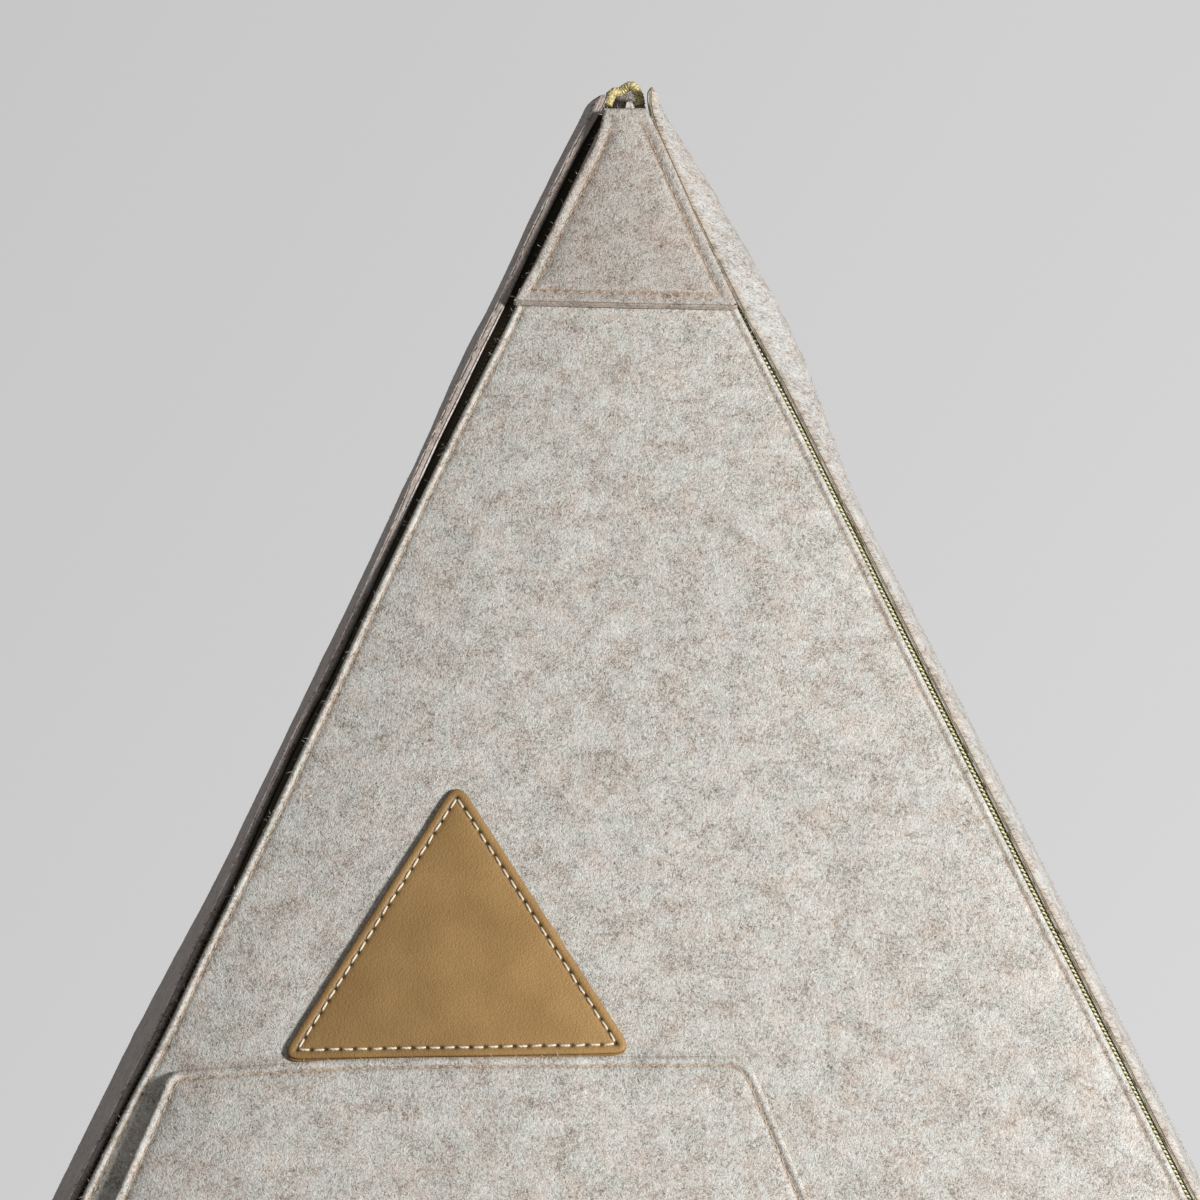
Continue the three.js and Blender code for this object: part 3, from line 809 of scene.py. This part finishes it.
# Materials
class Shader:
    """A material's or a world's nodes. Their inputs are numbers, colours or another node's output."""

    def __init__(self, owner):
        owner.use_nodes = True
        self.owner = owner
        self.tree = owner.node_tree
        self.tree.nodes.clear()

    def put(self, socket, value):
        if isinstance(value, bpy.types.NodeSocket):
            self.tree.links.new(value, socket)
        else:
            socket.default_value = value

    def node(self, kind, inputs=None, **settings):
        made = self.tree.nodes.new("ShaderNode" + kind)
        for key, value in settings.items():
            setattr(made, key, value)
        for key, value in (inputs or {}).items():
            self.put(made.inputs[key], value)
        return made

    def attribute(self, name, output="Vector"):
        return self.node("Attribute", attribute_name=name).outputs[output]

    def millimetres(self):
        """The place in the object, in millimetres."""
        return self.vector("SCALE", self.node("TexCoord").outputs["Object"], scale=1 / M)

    def noise(self, vector, size, detail, roughness, output="Fac"):
        """Noise whose cells are about size millimetres across."""
        settings = {"Vector": vector, "Scale": 1 / size, "Detail": detail, "Roughness": roughness}
        return self.node("TexNoise", settings).outputs[output]

    def maths(self, operation, *values, clamp=False):
        inputs = dict(enumerate(values))
        return self.node("Math", inputs, operation=operation, use_clamp=clamp).outputs[0]

    def times(self, first, second):
        return self.maths("MULTIPLY", first, second)

    def vector(self, operation, first, second=None, scale=1.0):
        inputs = {0: first, "Scale": scale} if second is None else {0: first, 1: second}
        return self.node("VectorMath", inputs, operation=operation).outputs[0]

    def span(self, value, low, high, to_low=0.0, to_high=1.0, smooth=True):
        """A value's stretch from low to high, turned into to_low to to_high."""
        settings = {"Value": value, "From Min": low, "From Max": high, "To Min": to_low, "To Max": to_high}
        kind = "SMOOTHSTEP" if smooth else "LINEAR"
        return self.node("MapRange", settings, interpolation_type=kind).outputs["Result"]

    def moved(self, vector, shift=(0, 0, 0), turn=0.0, scale=(1, 1, 1)):
        settings = {"Vector": vector, "Location": shift, "Rotation": (0, 0, turn), "Scale": scale}
        return self.node("Mapping", settings).outputs["Vector"]

    def mix(self, share, first, second, blend="MIX"):
        made = self.node("Mix", data_type="RGBA", blend_type=blend)
        self.put(made.inputs["Factor"], share)
        self.put(made.inputs[6], first)
        self.put(made.inputs[7], second)
        return made.outputs[2]

    def tinted(self, colour, tint, share, blend="MULTIPLY"):
        return self.mix(share, colour, rgb(*tint), blend)

    def ramp(self, value, stops):
        made = self.node("ValToRGB", {"Fac": value})
        points = made.color_ramp.elements
        while len(points) < len(stops):
            points.new(0.5)
        for point, (place, colour) in zip(points, stops):
            point.position = place
            point.color = rgb(*colour)
        return made.outputs["Color"]

    def bump(self, height, distance, strength):
        settings = {"Height": height, "Distance": distance, "Strength": strength}
        return self.node("Bump", settings).outputs["Normal"]

    def finish(self, colour, roughness, normal=None, specular=0.5):
        inputs = {"Base Color": colour, "Roughness": roughness, "Specular IOR Level": specular}
        if normal is not None:
            inputs["Normal"] = normal
        surface = self.node("BsdfPrincipled", inputs)
        self.node("OutputMaterial", {"Surface": surface.outputs["BSDF"]})
        return self.owner


def material(name):
    return Shader(bpy.data.materials.new(name))


def rgb(red, green, blue):
    return (red, green, blue, 1.0)


CLOUD_GAIN, STRAND_GAIN = 1.6, 0.7  # how much the felt's clouds and its single strands change its shade
STRAND_LENGTH, STRAND_WIDTH = 1.5, 0.36
FELT_SHADES = (
    (0.0, (0.20, 0.155, 0.12)),
    (0.26, (0.395, 0.354, 0.307)),
    (0.5, (0.605, 0.578, 0.53)),
    (0.74, (0.72, 0.703, 0.658)),
    (1.0, (0.81, 0.80, 0.77)),
)
# Patches of rose, green and cold grey: the noise's shift, where it is 0 and 1, the most of it, and its tint
FELT_HUES = (
    ((90, 40, 0), 0.50, 0.63, 0.75, (0.93, 0.80, 0.73)),
    ((90, 40, 0), 0.50, 0.37, 0.75, (0.90, 0.955, 0.93)),
    ((20, 70, 0), 0.52, 0.66, 0.6, (0.86, 0.88, 0.93)),
)


def make_felt(name="heathered_felt", tint=None, cut_tint_and_shade=(0.80, 0.69, 0.58), cut_share=0.5):
    """Heathered wool felt: brown, rose and grey-green fibres clouded through oatmeal, down to one fibre."""
    shader = material(name)
    cloth = shader.attribute("cloth")
    cut = shader.attribute("cut", "Fac")
    groove_shade = shader.attribute("groove_shade", "Fac")
    warp = shader.noise(cloth, 2.6, 2.0, 0.6, output="Color")
    centred = shader.vector("SUBTRACT", warp, (0.5, 0.5, 0.5))
    curled = shader.vector("ADD", cloth, shader.vector("SCALE", centred, scale=2.2))
    clouds = shader.noise(cloth, 11.0, 5.0, 1.0)
    total = shader.times(shader.maths("SUBTRACT", clouds, 0.5), CLOUD_GAIN)
    strand = (1 / STRAND_LENGTH, 1 / STRAND_WIDTH, 1 / STRAND_WIDTH)
    for i, turn in enumerate((0.2, 1.25, 2.3)):
        spot = shader.moved(shader.moved(curled, turn=turn), (i * 31.0, 7.0, 3.0), 0, strand)
        one = shader.maths("SUBTRACT", shader.noise(spot, 1.0, 1.0, 0.5), 0.5)
        total = shader.maths("ADD", total, shader.times(one, STRAND_GAIN))
    colour = shader.ramp(shader.maths("ADD", total, 0.5), FELT_SHADES)
    for shift, low, high, most, hue in FELT_HUES:
        patches = shader.noise(shader.moved(cloth, shift), 14.0, 5.0, 1.0)
        share = shader.span(patches, low, high, smooth=False)
        colour = shader.tinted(colour, hue, shader.times(share, most))
    # Cut edges in a darker, warmer felt colour; on the right panel the colour given is painted shade.
    colour = shader.tinted(colour, cut_tint_and_shade, shader.times(cut, cut_share))
    # Painted shade: a brown line darkens the felt along each stitch groove.
    colour = shader.tinted(colour, (0.64, 0.47, 0.34), shader.times(groove_shade, 0.8))
    if tint:
        colour = shader.tinted(colour, tint, 1.0)
    height = shader.maths("ADD", total, shader.noise(curled, 0.9, 3.0, 0.7))
    return shader.finish(colour, 0.97, shader.bump(height, 0.0004, 0.6), specular=0.08)


def make_fibre():
    """Single fibres of the felt: most of them pale, some brown."""
    shader = material("felt_fibre")
    colour = shader.ramp(shader.attribute("tone", "Fac"), (
        (0.0, (0.18, 0.13, 0.10)),
        (0.25, (0.36, 0.31, 0.26)),
        (0.5, (0.57, 0.54, 0.49)),
        (1.0, (0.73, 0.715, 0.67)),
    ))
    return shader.finish(colour, 0.9, specular=0.1)


def make_leather():
    """Tan leather with a fine pebble grain, needle holes painted dark as their shade, and painted light that
    makes it lighter to the right.
    """
    shader = material("tan_leather")
    cloth = shader.attribute("cloth")
    cut = shader.attribute("cut", "Fac")
    hole = shader.attribute("hole", "Fac")
    warp = shader.noise(cloth, 1.6, 1.0, 0.5, output="Color")
    moved = shader.vector("ADD", cloth, warp)
    pebbles = {"Vector": moved, "Scale": 2.0}
    cells = shader.node("TexVoronoi", pebbles, feature="SMOOTH_F1").outputs["Distance"]
    grain = shader.noise(cloth, 0.35, 3.0, 0.6)
    broad = shader.noise(cloth, 14.0, 3.0, 0.5)
    colour = shader.ramp(broad, ((0.3, (0.325, 0.19, 0.069)), (0.7, (0.415, 0.249, 0.096))))
    across = shader.node("SeparateXYZ", {0: cloth}).outputs["X"]
    # Painted light: the leather grows lighter from left to right, towards the key light.
    painted_right_light = shader.span(across, -88, -12, 0.86, 1.1, smooth=False)
    shade = shader.node("CombineXYZ", {0: painted_right_light, 1: painted_right_light, 2: painted_right_light}).outputs[0]
    colour = shader.mix(1.0, colour, shade, "MULTIPLY")
    pores = shader.span(cells, 0.1, 0.6)
    for share, most, tint in (
        (pores, 0.22, (0.24, 0.135, 0.05)),
        (cut, 0.5, (0.25, 0.14, 0.055)),
        # the needle holes: painted shade
        (hole, 0.9, (0.02, 0.012, 0.006)),
    ):
        colour = shader.tinted(colour, tint, shader.times(share, most), "MIX")
    height = shader.maths("SUBTRACT", shader.times(grain, 0.5), cells)
    rough = shader.span(grain, 0.3, 0.7, 0.46, 0.6, smooth=False)
    return shader.finish(colour, rough, shader.bump(height, 0.00016, 0.8), specular=0.35)


def make_thread(name, light, dark):
    """Twisted sewing thread."""
    shader = material(name)
    settings = {"Vector": shader.millimetres(), "Scale": 0.55, "Distortion": 1.5}
    twist = shader.node("TexWave", settings, bands_direction="DIAGONAL").outputs["Fac"]
    colour = shader.mix(twist, rgb(*dark), rgb(*light))
    return shader.finish(colour, 0.5, shader.bump(twist, 0.00006, 0.8), specular=0.4)


def make_nylon(name, light, dark, roughness, weave=False, size=2.5):
    """Nylon between two shades, as coil or as woven tape."""
    shader = material(name)
    place = shader.millimetres()
    share = shader.span(shader.noise(place, 0.5 if weave else size, 2.0, 0.6), 0.3, 0.7)
    if weave:
        rows = shader.node("TexWave", {"Vector": place, "Scale": 0.5}, bands_direction="Z").outputs["Fac"]
        share = shader.times(share, rows)
    colour = shader.mix(share, rgb(*dark), rgb(*light))
    return shader.finish(colour, roughness, shader.bump(share, 0.0001, 0.5))


felt = make_felt()
cap_felt = make_felt("heathered_felt_cap", (0.875, 0.835, 0.82))
# Painted shade: the right panel's felt is tinted darker, and its cut edges are painted olive-brown as the
# shaded zip tape beside them.
painted_shade_felt = make_felt("felt_right_painted_shade", (0.89, 0.89, 0.915), (0.86, 0.71, 0.50), 0.8)
mauve_felt = make_felt("heathered_felt_left", (1.0, 0.95, 0.985))
CLOTH_OF = {"cap_overlay": cap_felt, "right_panel": painted_shade_felt, "left_panel": mauve_felt}
fibre = make_fibre()
leather = make_leather()
cream_thread = make_thread("cream_thread", (0.86, 0.80, 0.66), (0.62, 0.54, 0.40))
beige_thread = make_thread("beige_thread", (0.74, 0.62, 0.46), (0.50, 0.38, 0.26))
coil_nylon = make_nylon("coil_nylon", (0.82, 0.80, 0.56), (0.68, 0.65, 0.38), 0.35)
# The loop's nylon: its fine grain runs between painted bright highlights and painted dark shade.
loop_nylon_and_painted_glints = make_nylon("loop_nylon_and_painted_glints", (0.86, 0.78, 0.42), (0.30, 0.20, 0.04), 0.3, size=0.6)
# Painted shade: darker copies of the coil nylon for turns that lie in the seams' shade, and a dark copy of
# the tape for the shaded left seam
painted_shade_nylon = make_nylon("painted_shade_nylon", (0.15, 0.125, 0.05), (0.08, 0.065, 0.025), 0.5)
painted_shade_olive_nylon = make_nylon("painted_shade_olive_nylon", (0.66, 0.62, 0.38), (0.48, 0.44, 0.22), 0.45)
pale_tape = make_nylon("pale_tape", (0.46, 0.42, 0.20), (0.30, 0.26, 0.11), 0.8, weave=True)
painted_shade_tape_nylon = make_nylon("painted_shade_tape_nylon", (0.10, 0.085, 0.05), (0.05, 0.04, 0.025), 0.9, weave=True)


# The pieces' outlines on their flat cloth
def front_outline():
    s = slope_rows(FRONT_TOP_BELOW / math.cos(LEAN), HEM_S)
    left, right = -edge_across(SIDES["left"], s), edge_across(SIDES["right"], s)
    tongue = np.array([(3.2, 0.0), (2.8, -3.0), (1.9, -3.7), (1.0, -3.2), (0.4, 0.0)])
    tongue = np.hstack([tongue + [0, s[0]], np.zeros((5, 2))])
    return np.vstack([edge_rows(left, s, 0.45, 1), edge_rows(right[::-1], s[::-1], 0.05, 0.5), tongue])


def cap_outline():
    table = np.array(CAP_EDGES).T
    sides = []
    for number, (name, flare) in enumerate((("left", 0.5), ("right", 0.1)), 1):
        s = slope_rows(CAP_TOP_BELOW / math.cos(LEAN), CAP_LOWER[name])
        reach = half_ideal(height_at(s)) + np.interp(s, table[0], table[number])
        side = edge_rows(reach, s, flare, 1)
        side[-1, 2] = 0.1
        side[:, 3] = np.clip((s - s[0]) / 9, 0, 1)
        sides.append(side)
    left, right = sides
    left[:, 0] *= -1
    return np.vstack([left, right[::-1]])


def facing_outline():
    """The facing's outline, its sides carried on to the wall's lower edge and cut off there."""
    line = resampled(rounded(FACING, (1.2, 0, 0.1, -0.5, -0.5), (1, 0, 1, 1, 1)), 3.0)
    line = cut_square(line, GAP + level(FELT))
    inside = line[:, 1] < HEM_S
    start = int(np.flatnonzero(~inside & np.roll(inside, -1))[0])
    line, inside = np.roll(line, -start, 0), np.roll(inside, -start)
    end = 1 + int(np.argmin(inside[1:]))
    kept = line[: end + 1]
    for last, before in ((0, 1), (-1, -2)):
        share = (HEM_S - kept[before, 1]) / (kept[last, 1] - kept[before, 1])
        kept[last] = kept[before] + share * (kept[last] - kept[before])
        kept[last, 1] = HEM_S
    hem = kept[[-1, 0]].copy()
    hem[:, 2:] = 0
    return np.vstack([kept, hem])


def doorway_outline():
    return cut_square(resampled(rounded(DOORWAY, (0.4, 0.2, 0.2, 0.3), (1, 1, 1, 1)), 2.0), 0)


def patch_outline():
    return cut_square(resampled(rounded(PATCH, (0.2, 0.1, 0.1), (1, 1, 1)), 0.5), GAP + level(LEATHER))


def side_outline(row):
    top = row["below"] / math.cos(LEAN)
    drop = TIP_SLOPE * 2 * TIP_DEEP / math.cos(LEAN)
    s = slope_rows(top, HEM_S)
    front = edge_rows(row["at"]["recess"](s) - half_deep(height_at(s)), s, 0.1, 0)
    s = slope_rows(top + drop, HEM_S)
    rear = edge_rows(half_deep(height_at(s)), s, 0.1, 1)
    front[-1, 3] = 0
    front[0, 3] = rear[0, 3] = 0
    return np.vstack([front, rear[::-1]])


def back_outline():
    s = slope_rows(BACK_TOP_BELOW / math.cos(LEAN), HEM_S)
    reach = {name: half_across(height_at(s)) + row["at"]["rear"](s) - BACK_GAP for name, row in SIDES.items()}
    left, right = edge_rows(-reach["left"], s, 0.1, 1), edge_rows(reach["right"], s, 0.1, 1)
    left[-1, 3] = right[0, 3] = left[0, 3] = 0
    return np.vstack([left, right[::-1]])


def floor_outline():
    reach = FLOOR_SIDE / 2
    corners = [(-reach, -reach, 6), (reach, -reach, 6), (reach, reach, 6), (-reach, reach, 6)]
    return rounded(corners, (0, 0, 0, 0), (1, 1, 1, 1))


PLAIN_RINGS = (0.3, 1.2, 2.4, 4.5)
doorway = doorway_outline()
thick = level(FELT)
floor_thick = FELT + FLOOR_SWELL
on_felt = GAP + thick
through_felt = through_front(thick)
left_outline, right_outline = side_outline(SIDES["left"]), side_outline(SIDES["right"])
sheets = {
    "front_panel": Sheet(
        on_front, front_outline(), 0.0, thick, [doorway], through_felt,
        inset=2.2, groove=0.75, groove_width=0.6, roll=0.25, seed=11,
    ),
    "cap_overlay": Sheet(
        on_front, cap_outline(), on_felt, thick, (), through_felt,
        step=1.0, spacing=2.5, inset=3.2, pitch=3.3, puff=0.5, puff_length=4.0, seed=12,
    ),
    "door_facing": Sheet(
        on_front, facing_outline(), on_felt, thick, [doorway], through_felt,
        inset=2.5, pitch=4.0, groove=0.85, puff=0.9, puff_length=6.0, seed=13,
    ),
    "left_panel": Sheet(
        on_side(SIDES["left"]), left_outline, thick, thick,
        spacing=7.0, round_off=0.8, inner_round=((125, 165), (0.6, 2.4)), inner_reach=2.2, seed=14,
    ),
    "right_panel": Sheet(
        on_side(SIDES["right"]), right_outline, thick, thick, spacing=6.0, round_off=2.3, seed=15,
    ),
    "back_panel": Sheet(
        on_back, back_outline(), 0.0, thick, step=4.0, rings=PLAIN_RINGS, spacing=9.0, seed=16,
    ),
    "floor_panel": Sheet(
        on_floor, floor_outline(), floor_thick, floor_thick,
        step=6.0, rings=PLAIN_RINGS, spacing=16.0, groove=0.5, uneven=0.0, seed=17,
    ),
}
for name, sheet in sheets.items():
    piece = sheet.build("felt_" + name, CLOTH_OF.get(name, felt))
    belongs(piece)
    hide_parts(name)
    sheet.size()
    sheet.area()


FUZZ = (
    ("front_fuzz", ("front_panel",), 0.26, 0.45, 31),
    ("overlay_fuzz", ("cap_overlay", "door_facing"), 0.26, 0.45, 32),
    ("left_fuzz", ("left_panel",), 0.10, 0.45, 33),
    ("right_fuzz", ("right_panel",), 0.18, 0.7, 34),
    ("back_fuzz", ("back_panel",), 0.08, 0.6, 35),
)
for name, covered, density, rise, seed in FUZZ:
    belongs(fuzz(name, [sheets[each] for each in covered], fibre, density, rise, seed))


# The leather patch: a rounded rim outside its stitches and a needle hole, painted dark as shade, at each end
# of a stitch
PATCH_RINGS = (0.03, 0.1, 0.25, 0.45, 0.7, 1.0, 1.4, 1.8, 2.15, 2.45, 2.7, 2.95, 3.3, 3.8, 4.5, 5.5, 6.7)
leather_thick = level(LEATHER_SEEN)
patch = Sheet(
    on_front, patch_outline(), GLUE + leather_thick, leather_thick, (), through_front(leather_thick),
    step=0.6, rings=PATCH_RINGS, spacing=2.4, inset=2.7, pitch=3.95, groove=0.5, groove_width=0.6,
    roll=0.3, puff=0.3, puff_length=3.0, uneven=0.05, round_off=0.75, seed=21,
)
patch_piece = patch.build("leather_patch_bare", leather, roughness=0.0)
belongs(patch_piece)
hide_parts("leather_patch")
patch.size()

shown = [sheets[name] for name in ("front_panel", "cap_overlay", "door_facing")]
walls = [sheets[name] for name in ("left_panel", "right_panel", "back_panel", "floor_panel")]
for piece in (
    stitches("patch_stitches", [patch], cream_thread, thread=0.33, reach=0.78, rise=0.3, sides=8, rings=9),
    stitches("felt_stitches", shown, beige_thread),
    stitches("wall_stitches", walls, beige_thread, sides=3, rings=4),
):
    belongs(piece)


# Zip: meshed coils in both front seams, their tape behind the cloth, and the loop over the tip
def corner_point(row, s, p, q):
    """p outwards from the front panel's edge and q back from its face."""
    z = height_at(s)
    return np.stack([row["side"] * (edge_across(row, s) + p), q - half_deep(z), z + 0 * p], -1)


def zip_coil(name, row, from_front, material):
    """Arched turns of wire from one edge of the gap to its middle."""
    s = np.arange(COIL_TOP, HEM_S - 1, COIL_PITCH)
    share = np.linspace(0, 1, len(WIRE_TAPER))[None]
    at = (s if from_front else s + COIL_PITCH / 2)[:, None]
    gap = row["at"]["gap"](at)
    near = 0.08 + share * np.minimum(0.95, np.maximum(gap * 0.6, 0.6))
    p = near if from_front else gap - near
    sunk = row["at"]["sunk"](at) + (0 if from_front else SIDE_SUNK)
    arch = COIL_ARCH - 0.6 * np.sin(np.pi * share**0.7)
    slant = (COIL_SLANT if from_front else -COIL_SLANT) * (share - 0.5)
    centre = corner_point(row, at + slant, p, sunk + COIL_WIRE + arch)
    along = unit(np.gradient(centre, axis=1))
    up = unit(np.cross(along, [0.0, -math.sin(LEAN), -math.cos(LEAN)]))
    radii = np.full(centre.shape[:2], COIL_WIRE) * np.array(WIRE_TAPER)
    points, faces = tube_mesh(centre, np.cross(up, along), up, radii, 5)
    made = new_object(name, points, faces, material)
    turn_outwards(made)
    return made


def loft(name, rings, material, smooth=False):
    """A closed body through rings of points."""
    rings = np.array(rings)
    made = new_object(name, rings.reshape(-1, 3), tube_faces(*rings.shape[:2]), material, smooth)
    turn_outwards(made)
    return made


def zip_tape(name, row):
    face = level(FELT) + 0.1
    rings = []
    wall = on_side(row)
    for s in slope_rows(TAPE_TOP_BELOW / math.cos(LEAN), HEM_S):
        inside = row["side"] * wall(face + 0.4 - half_deep(height_at(s)), s, 0)[0] - edge_across(row, s) + 0.1
        inward = max(-TAPE_FRONT, GAP - edge_across(row, s))
        deep = min(face + TAPE_SIDE, 2 * half_deep(height_at(s)) - level(FELT) - 2 * GAP)
        section = (
            (inward, face), (inside, face), (inside, deep),
            (inside - TAPE, deep), (inside - TAPE, face + TAPE), (inward, face + TAPE),
        )
        rings.append([corner_point(row, s, p, q) for p, q in section])
    # The left seam's tape is a dark copy, painted shade.
    return loft(name, rings, pale_tape if row["side"] > 0 else painted_shade_tape_nylon)


def smooth_route(points, count):
    """A Catmull-Rom curve through points."""
    ends = np.vstack([2 * points[0] - points[1], points, 2 * points[-1] - points[-2]])
    places = np.linspace(0, len(points) - 1 - 1e-6, count)
    found = []
    for place in places:
        i = int(place)
        t = place - i
        a, b, c, d = ends[i : i + 4]
        curve = (2 * a - 5 * b + 4 * c - d) * t**2
        found.append(0.5 * (2 * b + (c - a) * t + curve + (3 * b - a - 3 * c + d) * t**3))
    return np.array(found)


def zip_loop():
    """The coil's end, bent over the tip: its turns show as ribs."""
    route = np.array([[x, back - half_deep(APEX_Z + up), APEX_Z + up] for x, back, up in LOOP_ROUTE])
    path = smooth_route(route, LOOP_RINGS)
    along = unit(np.gradient(path, axis=0))
    gone = np.concatenate([[0], np.cumsum(np.linalg.norm(np.diff(path, axis=0), axis=1))])
    across = unit(np.cross(along, [0, 1, 0]))
    back = np.cross(along, across)
    radii = LOOP_RADIUS + LOOP_RIB * np.abs(np.sin(np.pi * gone / RIB_PITCH))
    angle = np.arange(LOOP_SIDES)[:, None] / LOOP_SIDES * 2 * np.pi
    rings = [
        centre + radius * (np.cos(angle) * x + np.sin(angle) * LOOP_FLAT * y)
        for centre, x, y, radius in zip(path, across, back, radii)
    ]
    return loft("zip_loop", rings, loop_nylon_and_painted_glints, smooth=True)


zip_pieces = [zip_loop()]
for name, row in SIDES.items():
    zip_pieces.append(zip_tape("zip_tape_" + name, row))
    # The right coil's far half and the whole left coil take darker copies of the nylon: painted shade.
    near, far = (coil_nylon, painted_shade_olive_nylon) if name == "right" else (painted_shade_nylon, painted_shade_nylon)
    zip_pieces.append(zip_coil("zip_coil_" + name + "_front", row, True, near))
    zip_pieces.append(zip_coil("zip_coil_" + name + "_side", row, False, far))
for piece in zip_pieces:
    belongs(piece)
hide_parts("zip")


# Stage: a pale floor, even surroundings, a fairly hard light from the right
FILL_ALL, FILL_LEFT = 0.115, 0.22  # the surroundings' light from every side, and how much more from the left
GREY, GREY_RIGHT, GREY_UP = 0.607, 0.30, -0.208  # what shows behind the object, and its change that way
GREY_LEAST, GREY_MOST = 0.52, 0.72
KEY_TOWARD, KEY_AWAY = Vector((0.785, -0.588, 0.196)), 1.9
KEY_AIM = Vector((0, -0.13, 0.40))
KEY_SIZE, KEY_ENERGY = 0.36, 50
FLOOR_RADIUS = 0.85


def make_floor():
    shader = material("pale_floor")
    share = shader.noise(shader.node("TexCoord").outputs["Object"], 0.35, 3.0, 0.5)
    colour = shader.mix(share, rgb(0.60, 0.60, 0.60), rgb(0.64, 0.64, 0.64))
    bpy.ops.mesh.primitive_circle_add(vertices=96, radius=FLOOR_RADIUS, fill_type="NGON", location=(0, 0, 0))
    floor = bpy.context.object
    floor.name = "floor"
    floor.data.materials.append(shader.finish(colour, 0.9))


def make_world():
    """Neutral grey behind the object, a little lighter to the right and below, and a dimmer fill."""
    world = bpy.data.worlds.new("surroundings")
    bpy.context.scene.world = world
    shader = Shader(world)
    across, _, up = shader.node("SeparateXYZ", {0: shader.node("TexCoord").outputs["Generated"]}).outputs
    grey = shader.maths("MULTIPLY_ADD", across, GREY_RIGHT, GREY)
    grey = shader.maths("MULTIPLY_ADD", up, GREY_UP, grey)
    grey = shader.node("Clamp", {0: grey, "Min": GREY_LEAST, "Max": GREY_MOST}).outputs[0]
    leftward = shader.maths("MULTIPLY", across, -1.0, clamp=True)
    light = shader.maths("MULTIPLY_ADD", leftward, FILL_LEFT, FILL_ALL)
    seen = shader.node("Background", {"Color": grey}).outputs[0]
    fill = shader.node("Background", {"Color": light}).outputs[0]
    straight = shader.node("LightPath").outputs["Is Camera Ray"]
    mix = shader.node("MixShader", {0: straight, 1: fill, 2: seen}).outputs[0]
    shader.node("OutputWorld", {"Surface": mix})


def make_key():
    toward = KEY_TOWARD.normalized()
    light = bpy.data.lights.new("key", "AREA")
    light.shape = "DISK"
    light.size = KEY_SIZE
    light.energy = KEY_ENERGY
    lamp = bpy.data.objects.new("key", light)
    bpy.context.scene.collection.objects.link(lamp)
    lamp.location = KEY_AIM + toward * KEY_AWAY
    lamp.rotation_mode = "QUATERNION"
    lamp.rotation_quaternion = toward.to_track_quat("Z", "Y")


# Camera, in millimetres: where it stands, and the point of the front panel's plane that it looks at
EYE = (-18.07, -1466.87, 544.24)
LOOK_X, LOOK_Z = -8.3, 408.5
ROLL, LENS, SENSOR = math.radians(-0.31), 146.85, 36


def make_camera():
    """The photograph's view: level with the tip, looking down a little at the front."""
    eye = Vector(EYE) * M
    target = Vector((LOOK_X, -half_ideal(LOOK_Z), LOOK_Z)) * M
    ahead = (target - eye).normalized()
    right = ahead.cross(Vector((0, 0, 1))).normalized()
    right = right * math.cos(ROLL) + right.cross(ahead) * math.sin(ROLL)
    up = (-ahead).cross(right)
    data = bpy.data.cameras.new("camera")
    data.sensor_width = SENSOR
    data.lens = LENS
    camera = bpy.data.objects.new("camera", data)
    bpy.context.scene.collection.objects.link(camera)
    camera.matrix_world = Matrix.Translation(eye) @ Matrix((right, up, -ahead)).transposed().to_4x4()
    bpy.context.scene.camera = camera


make_floor()
make_world()
make_key()
make_camera()
bpy.context.scene.view_settings.view_transform = "Standard"
